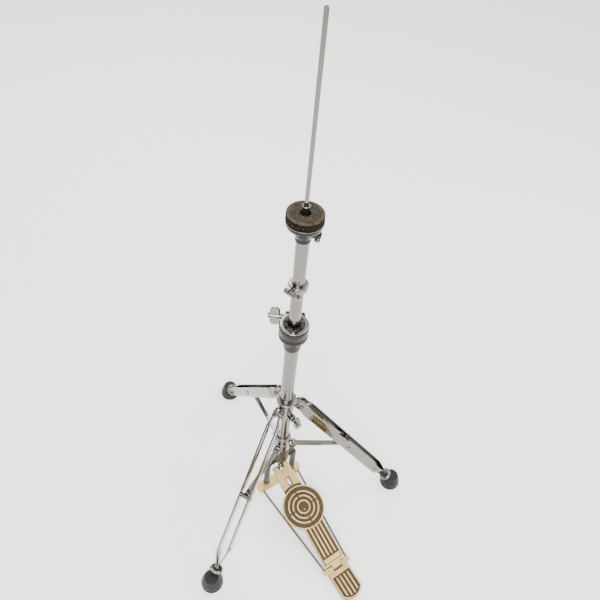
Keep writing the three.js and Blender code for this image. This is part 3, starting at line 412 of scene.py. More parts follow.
def combined(name, join, cut):
    """One mesh from shells that are joined and then cut, by Boolean modifiers that are applied."""
    body = loose_object(name, join[0])
    tools = [(loose_object("tool", shell), "UNION") for shell in join[1:]]
    tools += [(loose_object("tool", shell), "DIFFERENCE") for shell in cut]
    for tool, operation in tools:
        step = body.modifiers.new(operation, "BOOLEAN")
        step.object = tool
        step.operation = operation
        step.solver = "MANIFOLD"
    graph = bpy.context.evaluated_depsgraph_get()
    mesh = bpy.data.meshes.new_from_object(body.evaluated_get(graph))
    body.modifiers.clear()
    body.data = mesh
    for tool, _ in tools:
        bpy.data.objects.remove(tool)
    if not mesh.polygons:
        raise RuntimeError(f"{name} came out empty when its shapes were joined")
    work = bmesh.new()
    work.from_mesh(mesh)
    bmesh.ops.remove_doubles(work, verts=work.verts, dist=1e-6)
    bmesh.ops.dissolve_degenerate(work, dist=1e-6, edges=work.edges)
    work.to_mesh(mesh)
    work.free()
    return body


def piece(name, join, finish, body, stands_for, cut=(), sharp=32.0, cast=None, bevel=0.0):
    """One finished piece: shells joined and cut, given its finish and put on its body. cast = (voxel,
    rounds) softens a casting's corners; bevel rounds the seams that joining leaves, in millimetres."""
    join = [join] if isinstance(join, Shell) else list(join)
    made = combined(name, join, [] if cast else list(cut)) if len(join) > 1 or cut else loose_object(name,
                                                                                                     join[0])
    if cast:
        soften(made, *cast)
        if cut:
            cut_again(made, list(cut))
    made.data.name = name
    made.data.shade_smooth()
    made.data.set_sharp_from_angle(angle=math.radians(sharp))
    if bevel:
        round_seams(made, bevel, sharp)
    made.data.materials.clear()
    made.data.materials.append(finish)
    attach(made, body)
    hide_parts(*stands_for)
    return made


def apply_all(made):
    graph = bpy.context.evaluated_depsgraph_get()
    mesh = bpy.data.meshes.new_from_object(made.evaluated_get(graph))
    made.modifiers.clear()
    made.data = mesh


def soften(made, voxel, rounds):
    """Remeshes a casting at a voxel size in millimetres and smooths it, so that its corners are filled."""
    remesh = made.modifiers.new("remesh", "REMESH")
    remesh.mode = "VOXEL"
    remesh.voxel_size = voxel * MM
    smooth = made.modifiers.new("smooth", "SMOOTH")
    smooth.iterations = rounds
    smooth.factor = 0.5
    apply_all(made)


def cut_again(made, cut):
    tools = [loose_object("tool", shell) for shell in cut]
    for tool in tools:
        step = made.modifiers.new("cut", "BOOLEAN")
        step.object = tool
        step.operation = "DIFFERENCE"
        step.solver = "MANIFOLD"
    apply_all(made)
    for tool in tools:
        bpy.data.objects.remove(tool)


def round_seams(made, width, sharp):
    step = made.modifiers.new("seams", "BEVEL")
    step.width = width * MM
    step.segments = 2
    step.limit_method = "ANGLE"
    step.angle_limit = math.radians(sharp)
    step.harden_normals = True
    apply_all(made)


# ---- Finishes: shader maths is written as expressions on sockets ---------------------------------


class Wire:
    """One output socket. Arithmetic on it adds Math nodes to its finish."""

    def __init__(self, finish, socket):
        self.finish = finish
        self.socket = socket

    def _maths(self, operation, *values):
        return self.finish.node("Math", {"operation": operation}, dict(enumerate(values)))

    def __add__(self, other):
        return self._maths("ADD", self, other)

    def __sub__(self, other):
        return self._maths("SUBTRACT", self, other)

    def __rsub__(self, other):
        return self._maths("SUBTRACT", other, self)

    def __mul__(self, other):
        return self._maths("MULTIPLY", self, other)

    def __truediv__(self, other):
        return self._maths("DIVIDE", self, other)

    def __rtruediv__(self, other):
        return self._maths("DIVIDE", other, self)

    def __pow__(self, other):
        return self._maths("POWER", self, other)

    def __abs__(self):
        return self._maths("ABSOLUTE", self)

    def __gt__(self, other):
        return self._maths("GREATER_THAN", self, other)

    def __lt__(self, other):
        return self._maths("LESS_THAN", self, other)

    __radd__ = __add__
    __rmul__ = __mul__

    def root(self):
        return self._maths("SQRT", self)

    def within(self, low, high):
        """0 at low, 1 at high and held between them: a soft step."""
        return self.finish.node(
            "MapRange", {"interpolation_type": "SMOOTHSTEP"}, {0: self, 1: low, 2: high, 3: 0.0, 4: 1.0}
        )


class Finish:
    """A material while it is made. node() adds any node, and surface() closes it."""

    def __init__(self, name):
        self.material = bpy.data.materials.new(name)
        self.material.use_nodes = True
        self.tree = self.material.node_tree
        self.tree.nodes.clear()
        self.place = self.node("TexCoord", output="Object")

    def node(self, kind, settings=None, inputs=None, output=0):
        """Adds a node: its settings are set first, then each socket's value or link."""
        made = self.tree.nodes.new("ShaderNode" + kind)
        for key, value in (settings or {}).items():
            setattr(made, key, value)
        for key, value in (inputs or {}).items():
            if isinstance(value, Wire):
                self.tree.links.new(value.socket, made.inputs[key])
            else:
                made.inputs[key].default_value = value
        return Wire(self, made.outputs[output]) if made.outputs else None

    def mapped(self, scale=(1.0, 1.0, 1.0), turn=(0.0, 0.0, 0.0), shift=(0.0, 0.0, 0.0)):
        """Object coordinates, turned and scaled."""
        return self.node("Mapping", None, {
            "Vector": self.place, "Location": shift, "Rotation": tuple(math.radians(a) for a in turn),
            "Scale": scale,
        })

    def noise(self, scale, detail=3.0, rough=0.55, place=None, distortion=0.0):
        return self.node("TexNoise", None, {
            "Vector": place or self.place, "Scale": scale, "Detail": detail, "Roughness": rough,
            "Distortion": distortion,
        })

    def specks(self, scale, size, place=None):
        """Small round spots: 1 within size of a scattered point."""
        far = self.node("TexVoronoi", None, {"Vector": place or self.place, "Scale": scale}, "Distance")
        return 1 - far.within(size * 0.6, size)

    def mix(self, factor, first, second):
        """A colour between two colours."""
        values = [v if isinstance(v, Wire) else (*v, 1.0) for v in (first, second)]
        return self.node("Mix", {"data_type": "RGBA"}, {0: factor, 6: values[0], 7: values[1]}, 2)

    def bump(self, height, distance, strength=1.0, normal=None):
        """A bump from a height of 0 to 1; distance is its depth in millimetres."""
        inputs = {"Height": height, "Distance": distance * MM, "Strength": strength}
        if normal:
            inputs["Normal"] = normal
        return self.node("Bump", None, inputs)

    def axes(self, place=None):
        """The three coordinates as numbers."""
        made = self.tree.nodes.new("ShaderNodeSeparateXYZ")
        self.tree.links.new((place or self.place).socket, made.inputs[0])
        return [Wire(self, made.outputs[i]) for i in range(3)]

    def surface(self, **inputs):
        """The Principled surface, its sockets named with _ for a space."""
        values = {key.replace("_", " ").title().replace("Ior", "IOR"): value for key, value in inputs.items()}
        for key in ("Base Color", "Sheen Tint"):
            if key in values and not isinstance(values[key], Wire):
                values[key] = (*values[key], 1.0)
        made = self.node("BsdfPrincipled", None, values)
        self.node("OutputMaterial", None, {"Surface": made})
        return self.material


def tinted(colour_value, factor):
    """A colour made lighter or darker."""
    return tuple(min(1.0, c * factor) for c in colour_value)


def once(make):
    """Makes each finish only the first time that it is asked for."""
    made = {}

    def get():
        if make.__name__ not in made:
            made[make.__name__] = make()
        return made[make.__name__]

    return get


@once
def chrome():
    """Polished plating: fingermarks that dull it, faint ripple, hair scratches and a few dark pits."""
    f = Finish("chrome")
    smudge = f.noise(26.0, 4.0, 0.6, distortion=0.6).within(0.5, 0.72)
    film = f.noise(9.0, 3.0).within(0.45, 0.7)
    hair = f.noise(260.0, 2.0, 0.5, place=f.mapped((3.0, 3.0, 0.12))).within(0.62, 0.72)
    pits = f.specks(420.0, 0.11) * f.noise(14.0, 2.0).within(0.55, 0.68)
    base = tuple(colours().chrome)
    tone = f.mix(film * 0.5, base, tinted(base, 0.82))
    tone = f.mix(pits * 0.8, tone, (0.09, 0.05, 0.03))
    rough = 0.045 + smudge * 0.13 + film * 0.05 + hair * 0.08 + pits * 0.3
    ripple = f.noise(34.0, 2.0)
    return f.surface(base_color=tone, metallic=1.0, roughness=rough,
                     normal=f.bump(ripple, 0.05, 0.35, f.bump(hair, 0.01, 0.4)))


@once
def cast_chrome():
    """Plating over a casting: a slight orange peel, dulled in its hollows."""
    f = Finish("cast_chrome")
    smudge = f.noise(45.0, 4.0, 0.6).within(0.45, 0.75)
    peel = f.noise(330.0, 2.0, 0.5)
    grime = f.noise(90.0, 5.0, 0.65).within(0.56, 0.72)
    base = tinted(tuple(colours().chrome), 1.12)
    tone = f.mix(grime * 0.55, base, tinted(base, 0.5))
    rough = 0.08 + smudge * 0.14 + grime * 0.2
    return f.surface(base_color=tone, metallic=1.0, roughness=rough, normal=f.bump(peel, 0.03, 0.5))


@once
def steel():
    """Drawn steel: fine lines along its length, with brown stain in patches."""
    f = Finish("steel")
    lines = f.noise(420.0, 2.0, 0.6, place=f.mapped((1.0, 0.04, 0.04)))
    stain = f.noise(60.0, 5.0, 0.65).within(0.52, 0.7)
    base = tuple(colours().steel)
    tone = f.mix(stain * 0.6, base, (0.20, 0.13, 0.08))
    rough = 0.2 + lines * 0.16 + stain * 0.25
    return f.surface(base_color=tone, metallic=1.0, roughness=rough, normal=f.bump(lines, 0.02, 0.5))


@once
def bright_wire():
    """Plated wire, dulled in places."""
    f = Finish("bright_wire")
    smudge = f.noise(60.0, 4.0, 0.6).within(0.5, 0.7)
    base = tuple(colours().chrome)
    tone = f.mix(smudge * 0.4, base, tinted(base, 0.6))
    return f.surface(base_color=tone, metallic=1.0, roughness=0.08 + smudge * 0.16)


@once
def black_gloss():
    """Black gloss paint with dust, hairline scuffs and small chips to the metal."""
    f = Finish("black_gloss")
    dust = f.noise(160.0, 5.0, 0.7).within(0.5, 0.75)
    scuff = f.noise(300.0, 2.0, 0.5, place=f.mapped((0.2, 1.0, 1.6))).within(0.64, 0.7)
    chips = f.specks(240.0, 0.13) * f.noise(30.0, 2.0).within(0.56, 0.66)
    base = tuple(colours().black)
    tone = f.mix(dust * 0.15, base, (0.04, 0.036, 0.03))
    tone = f.mix(chips, tone, (0.35, 0.33, 0.3))
    rough = 0.14 + dust * 0.12 + scuff * 0.15
    return f.surface(base_color=tone, metallic=chips * 0.9, roughness=rough,
                     specular_ior_level=0.22, normal=f.bump(scuff + chips * -1.0, 0.03, 0.5))


@once
def clamp_paint():
    """The height clamp's dark plating: charcoal with a metallic base and polished high spots."""
    f = Finish("clamp_paint")
    grain = f.noise(520.0, 3.0, 0.6)
    rub = f.noise(38.0, 4.0, 0.6).within(0.52, 0.68)
    chips = f.specks(210.0, 0.12) * f.noise(26.0, 2.0).within(0.54, 0.66)
    tone = f.mix(rub * 0.6, (0.026, 0.023, 0.019), (0.055, 0.05, 0.042))
    tone = f.mix(chips, tone, (0.6, 0.56, 0.5))
    rough = 0.26 + grain * 0.14 - rub * 0.08
    return f.surface(base_color=tone, metallic=0.6, roughness=rough, specular_ior_level=0.25,
                     normal=f.bump(grain, 0.03, 0.5))


@once
def nylon():
    """Moulded black nylon, with gold-brown patches painted on as highlights."""
    f = Finish("nylon")
    painted_sheen_noise = f.noise(90.0, 3.0, 0.5)
    base = tinted(tuple(colours().black), 1.5)
    # Painted highlight: gold-brown patches over the black.
    tone = f.mix(painted_sheen_noise.within(0.5, 0.7) * 0.5, base, (0.10, 0.07, 0.035))
    return f.surface(base_color=tone, metallic=0.0, roughness=0.25 + painted_sheen_noise * 0.25,
                     specular_ior_level=0.3,
                     normal=f.bump(f.noise(600.0, 2.0), 0.02, 0.5))


@once
def dark_casting():
    """Dark die-cast metal: sandy grain, polished on its high places, dust in its hollows."""
    f = Finish("dark_casting")
    grain = f.noise(700.0, 4.0, 0.65)
    cloud = f.noise(28.0, 4.0, 0.6)
    rub = cloud.within(0.5, 0.66)
    base = tuple(colours().iron)
    tone = f.mix(rub * 0.7, base, tinted(base, 2.1))
    tone = f.mix(f.noise(120.0, 5.0, 0.7).within(0.56, 0.72) * 0.5, tone, (0.20, 0.16, 0.11))
    rough = 0.36 + grain * 0.22 - rub * 0.12
    return f.surface(base_color=tone, metallic=0.35, roughness=rough, specular_ior_level=0.25,
                     normal=f.bump(grain, 0.06, 0.6))


def cream_wear(f, recess_and_side_shade):
    """Colour, roughness and bump of the pedal's casting. The mask is 1 in the painted recesses, and on the
    pedal's sides it also carries a painted shade.
    """
    grain = f.noise(620.0, 4.0, 0.6)
    cloud = f.noise(34.0, 4.0, 0.6)
    brushed = f.noise(240.0, 2.0, 0.5, place=f.mapped((2.5, 0.15, 0.6)))
    dirt = f.noise(150.0, 5.0, 0.7).within(0.55, 0.74)
    cream, brown = tuple(colours().cream), tuple(colours().recess)
    bright = f.mix(cloud.within(0.35, 0.7), cream, tinted(cream, 1.16))
    bright = f.mix(dirt * 0.5, bright, (0.40, 0.27, 0.13))
    scuffs = f.noise(75.0, 5.0, 0.7).within(0.54, 0.66)
    dark = f.mix(scuffs * 0.45, brown, tinted(brown, 2.0))
    tone = f.mix(recess_and_side_shade, bright, dark)
    rough = 0.30 + brushed * 0.16 + dirt * 0.15 + recess_and_side_shade * 0.12
    metal = 0.55 - recess_and_side_shade * 0.3
    height = grain * (0.4 + recess_and_side_shade * 0.6) + brushed * 0.3
    return tone, rough, metal, f.bump(height, 0.06, 0.55)


@once
def plain_cream():
    """The base bar's casting."""
    f = Finish("plain_cream")
    tone, rough, metal, normal = cream_wear(f, f.noise(20.0).within(0.9, 1.0))
    return f.surface(base_color=tone, metallic=metal, roughness=rough, normal=normal)


def rubber_finish():
    """Moulded rubber: matte, dusty on top and scuffed near the floor."""
    f = Finish("rubber")
    dust = f.noise(110.0, 5.0, 0.7).within(0.45, 0.75)
    grain = f.noise(900.0, 3.0, 0.6)
    _, _, height = f.axes()
    low = 1 - height.within(0.0, 0.012)
    base = tuple(colours().rubber)
    tone = f.mix(dust * 0.3 + low * 0.2, base, (0.045, 0.042, 0.038))
    rough = 0.42 + dust * 0.25 + grain * 0.1
    return f.surface(base_color=tone, metallic=0.0, roughness=rough, specular_ior_level=0.2,
                     normal=f.bump(grain, 0.05, 0.6))


@once
def rubber():
    return rubber_finish()


@once
def chain_brown():
    """Browned chain links with oil and bright rubbed edges."""
    f = Finish("chain_brown")
    rust = f.noise(260.0, 5.0, 0.65)
    base = tuple(colours().chain)
    tone = f.mix(rust.within(0.45, 0.65), base, tinted(base, 2.4))
    tone = f.mix(f.noise(90.0).within(0.6, 0.7) * 0.6, tone, (0.33, 0.27, 0.22))
    return f.surface(base_color=tone, metallic=0.75, roughness=0.24 + rust * 0.28,
                     normal=f.bump(rust, 0.05, 0.6))


@once
def felt():
    """Pressed wool: matted fibres and lint, a ring near the top's edge painted paler as a highlight, and a
    painted shade on its side.
    """
    f = Finish("felt")
    x, y, z = f.axes()
    _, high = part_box("seat_felt")
    out = (x * x + y * y).root()
    fibre = f.noise(900.0, 6.0, 0.75, distortion=1.2)
    clump = f.noise(160.0, 5.0, 0.7, distortion=0.8)
    on_top = z.within(high.z - 0.0022, high.z - 0.0006)
    # rim: a ring near the top's outer edge, painted paler as a highlight.
    rim = out.within(0.0205, 0.0235) * on_top
    front = ((x + 0.004) * (x + 0.004) + (y + 0.010) * (y + 0.010)).root()
    stain = (1 - front.within(0.002, 0.009)) * clump.within(0.4, 0.6) * on_top
    lint = f.specks(150.0, 0.07, place=f.mapped(shift=(0.3, 0.1, 0.2))) * fibre.within(0.45, 0.55)
    top, side = tuple(colours().felt), tuple(colours().felt_side_shade)
    tone = f.mix(clump.within(0.35, 0.65), tinted(top, 0.62), tinted(top, 1.15))
    tone = f.mix(rim * clump.within(0.3, 0.55) * 0.8, tone, tinted(top, 1.7))
    tone = f.mix(stain * 0.7, tone, (0.11, 0.055, 0.03))
    # Painted shade: below the top, the side takes the much darker side colour.
    tone = f.mix(on_top, f.mix(clump.within(0.4, 0.65), side, tinted(side, 2.2)), tone)
    tone = f.mix(lint * 0.8, tone, (0.55, 0.52, 0.45))
    height = fibre * 0.6 + clump * 0.6
    return f.surface(base_color=tone, metallic=0.0, roughness=0.95, specular_ior_level=0.1,
                     normal=f.bump(height, 0.5, 0.9))


# ---- Pillar --------------------------------------------------------------------------------------


class STAND_OT_tubes(bpy.types.Operator):
    """Lower and upper tube: plated tubes with rounded rims"""

    bl_idname = "stand.tubes"
    bl_label = "Tubes"

    def execute(self, context):
        wall = sizes().tube_wall
        for node, body, radius in (("lower_tube", "stand", LOWER_TUBE),
                                   ("upper_tube", "upper_tube", UPPER_TUBE)):
            bottom, top = heights(node)
            shell = pipe(radius, radius - wall, bottom, top, 0.5)
            piece(f"{node}_plated", shell, chrome(), body, [node])
        return {"FINISHED"}


class STAND_OT_rods(bpy.types.Operator):
    """Pull rods: a thick lower rod with a fork for the chain, a coupler, and the thin upper rod"""

    bl_idname = "stand.rods"
    bl_label = "Pull rods"

    def execute(self, context):
        bottom, top = heights("lower_pull_rod")
        lower = (span("rod_coupler")[1][0] - 2.4)
        fork = span("lower_pull_rod")[1][0]
        pin = CLEVIS[2]
        shaft = turned([(0, bottom), (fork, bottom), (fork, pin + 7), (lower, pin + 13), (lower, top),
                        (0, top)], 1.2)
        slot = block((-4.4, -20, bottom - CUT), (4.4, 20, pin + 5), 0.5, 0.5)
        hole = along(rod(1.8, -12, 12), "X").moved(z=pin)
        piece("lower_pull_rod_turned", shaft, steel(), "pull_rod", ["lower_pull_rod"],
              cut=[slot, hole])
        pin_half = span("clevis_pin")[1][0]
        shell = along(rod(1.5, -pin_half, pin_half, 0.3), "X").moved(z=pin)
        piece("clevis_pin_turned", shell, steel(), "pull_rod", ["clevis_pin"])
        low, high = heights("rod_coupler")
        nut = pipe(span("rod_coupler")[1][0], lower + GAP, low, high, 0.8)
        piece("rod_coupler_turned", nut, steel(), "pull_rod", ["rod_coupler"])
        low, high = heights("upper_pull_rod")
        shell = turned([(0, low), (ROD, low), (ROD, high - 1.2), (ROD - 1.1, high), (0, high)], 0.4, SMALL)
        piece("upper_pull_rod_plated", shell, chrome(), "pull_rod", ["upper_pull_rod"])
        return {"FINISHED"}


class STAND_OT_spring(bpy.types.Operator):
    """Return spring: a wire of radius w carried along a helix x = R cos a, y = R sin a, z rising with a,
    between its seat and the collar on the rod"""

    bl_idname = "stand.spring"
    bl_label = "Return spring"

    def execute(self, context):
        _, seat_high = heights("spring_seat")
        collar_low, _ = heights("spring_collar")
        coil, wire = 8.4, 1.1
        turns = sizes().spring_turns
        t = np.linspace(0, 1, int(turns * 36))
        low, high = seat_high + wire + GAP, collar_low - wire - GAP
        angle = TAU * turns * t
        rise = np.clip((t * turns - 0.7) / (turns - 1.4), 0, 1)
        path = np.stack([coil * np.cos(angle), coil * np.sin(angle), low + (high - low) * rise], -1)
        made = piece("return_spring_coil", carried(arc(wire, 0, 360, 15)[:-1], path), steel(), "stand",
                     ["return_spring"])
        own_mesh(made)
        for node, body in (("spring_seat", "stand"), ("spring_collar", "pull_rod")):
            bottom, top = heights(node)
            shell = pipe(span(node)[1][0], 4.4, bottom, top, 0.6)
            piece(f"{node}_moulded", shell, nylon(), body, [node])
        return {"FINISHED"}


def wing_bolt(shank, start, hub_length, reach, half_width, lean):
    """A wing bolt along +X with its hub from 0: a threaded shank, a grooved hub, and two lobes whose
    half-width is w sqrt(1 - s^4) (0.74 + 0.26 s^2) at a share s of the reach."""
    hub = along(turned([
        (0, 0), (4.4, 0), (5, 0.8), (5, 3), (4.5, 3.4), (4.5, 4.2), (5, 4.6), (5, hub_length - 2),
        (3.9, hub_length - 0.3), (0, hub_length),
    ], 0.5, SMALL * 2), "X")
    t = np.arange(96) * TAU / 96
    s = np.sin(t)
    half = half_width * np.sign(np.cos(t)) * np.sqrt(np.maximum(1 - s ** 4, 0)) * (0.74 + 0.26 * s ** 2)
    lobes = slab(np.stack([half, reach * s], -1), -1.8, 1.8, 1.5, 6).turned(lean,
        "X").moved(x=hub_length - half_width - 1)
    screw = along(thread(shank, sizes().thread_pitch, -start, 2), "X")
    return [hub, lobes, screw]


class STAND_OT_height_clamp(bpy.types.Operator):
    """Height clamp: a band with a split pair of ears, its plated top ring, a collet and a wing bolt"""

    bl_idname = "stand.height_clamp"
    bl_label = "Height clamp"

    def execute(self, context):
        bottom, top = heights("height_clamp")
        ring_low, ring_high = heights("clamp_top_ring")
        bush_low, bush_high = heights("clamp_bushing")
        bore = UPPER_TUBE + GAP
        bush = bore + 5.6
        outer = bush + 9.6
        band_low = ring_high - 33
        neck = LOWER_TUBE + 2.5
        bolt_height = pivot("height_bolt_turn")[2]

        def place(shell):
            return shell.turned(CLAMP_HEADING)

        body = turned([
            (0, bottom), (neck, bottom), (neck + 0.5, bottom + 3), (neck + 1.0, band_low - 13),
            (neck + 1.8, band_low - 10), (outer - 2.6, band_low - 0.5), (outer - 0.2, band_low + 3),
            (outer - 0.2, band_low + 9), (outer - 1.1, band_low + 10), (outer - 1.1, band_low + 18),
            (outer, band_low + 19), (outer, top - 2), (outer - 1, top), (0, top),
        ], 0.9)
        ears = block((8, -17, band_low + 1.5), (29, 17, top - 0.4), 4.0, 1.4)
        cuts = [
            turned([(0, bottom - CUT), (LOWER_TUBE + GAP, bottom - CUT), (LOWER_TUBE + GAP, bush_low - GAP),
                    (bush + GAP, bush_low - GAP), (bush + GAP, top + CUT), (0, top + CUT)], 0.2),
            block((0, -1.5, bottom - CUT), (40, 1.5, top + CUT), 0.1, 0.1),
            along(rod(3.4, -30, 30), "Y").moved(x=22, z=bolt_height),
        ]
        piece("height_clamp_body", [place(body), place(ears)], clamp_paint(), "stand",
              ["height_clamp"], cut=[place(c) for c in cuts], bevel=0.3)
        ring = revolve(filleted([(bush + GAP, ring_low), (outer - 1, ring_low), (outer - 1, ring_high - 0.8),
                                 (outer - 2.2, ring_high), (bush + 1.6, ring_high),
                                 (bush + GAP, ring_high - 0.9)], 0.5))
        slit = block((0, -1.5, ring_low - CUT), (40, 1.5, ring_high + CUT), 0.1, 0.1)
        piece("clamp_ring_plated", [place(ring)], cast_chrome(), "stand", ["clamp_top_ring"],
              cut=[place(slit)])
        lip = bush + 2.4
        collet = revolve(filleted([
            (bore, bush_low), (bush, bush_low), (bush, ring_high + GAP), (lip, ring_high + GAP),
            (lip, bush_high - 1.4), (lip - 1.6, bush_high), (bore + 1.4, bush_high), (bore, bush_high - 1.6),
        ], 0.3))
        fingers = sizes().collet_fingers
        gaps = [block((bore - 2, -1.1, bush_low + 6), (30, 1.1, bush_high + CUT), 0.1, 0.1)
                .turned(360 / fingers * i) for i in range(1, fingers)]
        through = block((bore - 3, -1.1, bush_low - CUT), (30, 1.1, bush_high + CUT), 0.1, 0.1)
        piece("clamp_collet", [place(collet)], nylon(), "stand", ["clamp_bushing"],
              cut=[place(c) for c in gaps + [through]])
        start = math.sqrt(outer ** 2 - 17 ** 2) + 0.5
        bolt = [s.turned(90).moved(22, start, bolt_height).turned(CLAMP_HEADING)
                for s in wing_bolt(3, start + 18, 27, 23, 11.5, 88)]
        piece("height_wing_bolt_cast", bolt, cast_chrome(), "height_bolt", ["height_wing_bolt"])
        return {"FINISHED"}


class STAND_OT_memory_lock(bpy.types.Operator):
    """Memory lock: a split ring on the upper tube with a square-headed bolt through its ears"""

    bl_idname = "stand.memory_lock"
    bl_label = "Memory lock"

    def execute(self, context):
        bottom, top = heights("memory_lock")
        middle = (bottom + top) / 2
        outer = UPPER_TUBE + 6
        bore = UPPER_TUBE + GAP

        def place(shell):
            return shell.turned(LOCK_HEADING)

        ring = turned([(0, bottom), (outer - 3, bottom), (outer, bottom + 3), (outer, top - 1.6),
                       (outer - 1.4, top),
                       (0, top)], 1.0)
        ears = upright(np.concatenate([
            [(4, bottom + 1), (20, bottom + 1)], arc(6, -80, 80, 14, 19, middle),
            [(20, top - 1), (4, top - 1)],
        ]), -9, 9, 1.0)
        cuts = [
            rod(bore, bottom - CUT, top + CUT, 0.1, ROUND),
            block((0, -1.2, bottom - CUT), (30, 1.2, top + CUT), 0.1, 0.1),
            along(rod(2.9, -14, 14), "Y").moved(x=20, z=middle),
        ]
        piece("memory_lock_ring", [place(ring), place(ears)], cast_chrome(), "memory_lock",
              ["memory_lock"], cut=[place(c) for c in cuts], bevel=0.3)
        shank = along(thread(2.6, sizes().thread_pitch * 0.8, -10.9, 11, 0.35), "Y")
        flange = along(turned([(0, 9.5), (4.6, 9.5), (4.6, 11), (3.6, 11.8), (0, 11.8)], 0.4, SMALL), "Y")
        head = upright(rectangle(-3.5, 3.5, -3.5, 3.5, 0.9), 10.4, 20.5, 0.7)
        bolt = [place(s.moved(20, 0, middle)) for s in (head, flange, shank)]
        piece("memory_key_bolt_head", bolt, cast_chrome(), "memory_bolt", ["memory_key_bolt"])
        return {"FINISHED"}


# ---- Tripod --------------------------------------------------------------------------------------

FOOT_LOW, FOOT_HIGH = span("leg_rear_foot")
FOOT_CIRCLE = math.hypot(*((FOOT_LOW + FOOT_HIGH) / 2)[:2])
LEG_END_HEIGHT = 16.0
STRIP_SPACING = 21.0
STRIP_END_SPACING = 4.2
STRIP_HEAD_SPACING = 14.5
RIVET_ALONG = 196.0
LEG_DROP = LEG_PIVOT[2] - LEG_END_HEIGHT
LEG_OUT = FOOT_CIRCLE - LEG_PIVOT_RADIUS
LEG_TILT = math.degrees(math.atan2(LEG_OUT, LEG_DROP))
LEG_LENGTH = math.hypot(LEG_OUT, LEG_DROP)
RIVET_OUT = LEG_PIVOT_RADIUS + RIVET_ALONG * math.sin(math.radians(LEG_TILT))
RIVET_HEIGHT = LEG_PIVOT[2] - RIVET_ALONG * math.cos(math.radians(LEG_TILT))
STRUT_RUN = RIVET_OUT - STRUT_PIVOT_RADIUS
STRUT_RISE = RIVET_HEIGHT - STRUT_PIVOT[2]
STRUT_LENGTH = math.hypot(STRUT_RUN, STRUT_RISE)
STRUT_TILT = math.degrees(math.atan2(STRUT_RISE, STRUT_RUN))


def on_leg(shell, name):
    """From the leg's own axes, pivot at the origin and the leg along -Z, to its place."""
    return shell.turned(-LEG_TILT, "Y").moved(LEG_PIVOT_RADIUS, 0, LEG_PIVOT[2]).turned(LEG_HEADING[name])


def dome(radius, height, base):
    """A rivet's head that stands on z = base: z = base + h sqrt(1 - (r / R)^2)."""
    t = np.linspace(0, math.pi / 2, 9)
    cap = np.stack([radius * np.cos(t), base + 0.4 + (height - 0.4) * np.sin(t)], -1)
    return revolve(np.concatenate([[(0, base - 0.5), (radius, base - 0.5)], cap]), SMALL)


def strip_shell(side):
    """One leg strip: a rounded bar, t thick and 2 w(z) wide, carried down the leg. w is a half round at the
    top, then level, then narrows; its offset eases out below the collar and in again near the foot."""
    size = sizes()
    half, wide, narrow, corner = size.strip_thickness / 2, size.strip_width / 2, 7.0, 0.9
    head = wide * np.sin(np.linspace(math.pi / 2, 0.1, 16))
    body = np.linspace(0, -LEG_LENGTH, 140)
    z = np.concatenate([head, body[1:]])
    bend = np.clip((-z - (LEG_LENGTH - 82)) / 44, 0, 1)
    ease = (1 - np.cos(math.pi * bend)) / 2
    width = np.where(z > 0, np.sqrt(np.maximum(wide ** 2 - z ** 2, 0)), wide + (narrow - wide) * ease)
    width = np.maximum(width, corner + 0.05)
    flare = (1 - np.cos(math.pi * np.clip((-z - 10) / 20, 0, 1))) / 2
    offset = (STRIP_HEAD_SPACING + (STRIP_SPACING - STRIP_HEAD_SPACING) * flare
              + (STRIP_END_SPACING - STRIP_SPACING) * ease) / 2
    turn = np.radians(np.arange(24) * 15.0)
    across = np.sign(np.cos(turn)) * 1.0
    beside = np.sign(np.sin(turn)) * 1.0
    x = across[None] * (width[:, None] - corner) + corner * np.cos(turn)[None]
    y = beside[None] * (half - corner) + corner * np.sin(turn)[None] + side * offset[:, None]
    points = np.stack(np.broadcast_arrays(x, y, z[:, None]), -1)
    return grid(points, caps=True)


def side_heads(side, z, radius=5.0, height=2.4, outside=0.0):
    """A domed head on the outer face of a strip, at a distance down the leg."""
    face = STRIP_SPACING / 2 + sizes().strip_thickness / 2 + outside
    return dome(radius, height, face).turned(-side * 90, "X").moved(z=z)


class STAND_OT_legs(bpy.types.Operator):
    """Legs: two plated strips each, riveted together, on a pin with a head outside each strip"""

    bl_idname = "stand.legs"
    bl_label = "Legs"

    def execute(self, context):
        for name in LEGS:
            for side, letter in ((-1, "a"), (1, "b")):
                node = f"leg_{name}_strip_{letter}"
                parts = [strip_shell(side), side_heads(side, -RIVET_ALONG),
                         side_heads(side, -(LEG_LENGTH - 88), 3.8, 1.9)]
                hole = along(rod(2.8, -20, 20), "Y")
                piece(f"{node}_plated", [on_leg(p, name) for p in parts], chrome(), f"leg_{name}",
                      [node],
                      cut=[on_leg(hole, name)])
            face = STRIP_HEAD_SPACING / 2 + 1.5 + GAP
            pin = [along(rod(2.5, -face - 0.3, face + 0.3, 0.2), "Y")]
            pin += [dome(5.0, 2.4, face + 0.5).turned(-s * 90, "X") for s in (-1, 1)]
            piece(f"leg_{name}_pin_turned", [on_leg(p, name) for p in pin], steel(), "collar",
                  [f"leg_{name}_pin"])
        return {"FINISHED"}


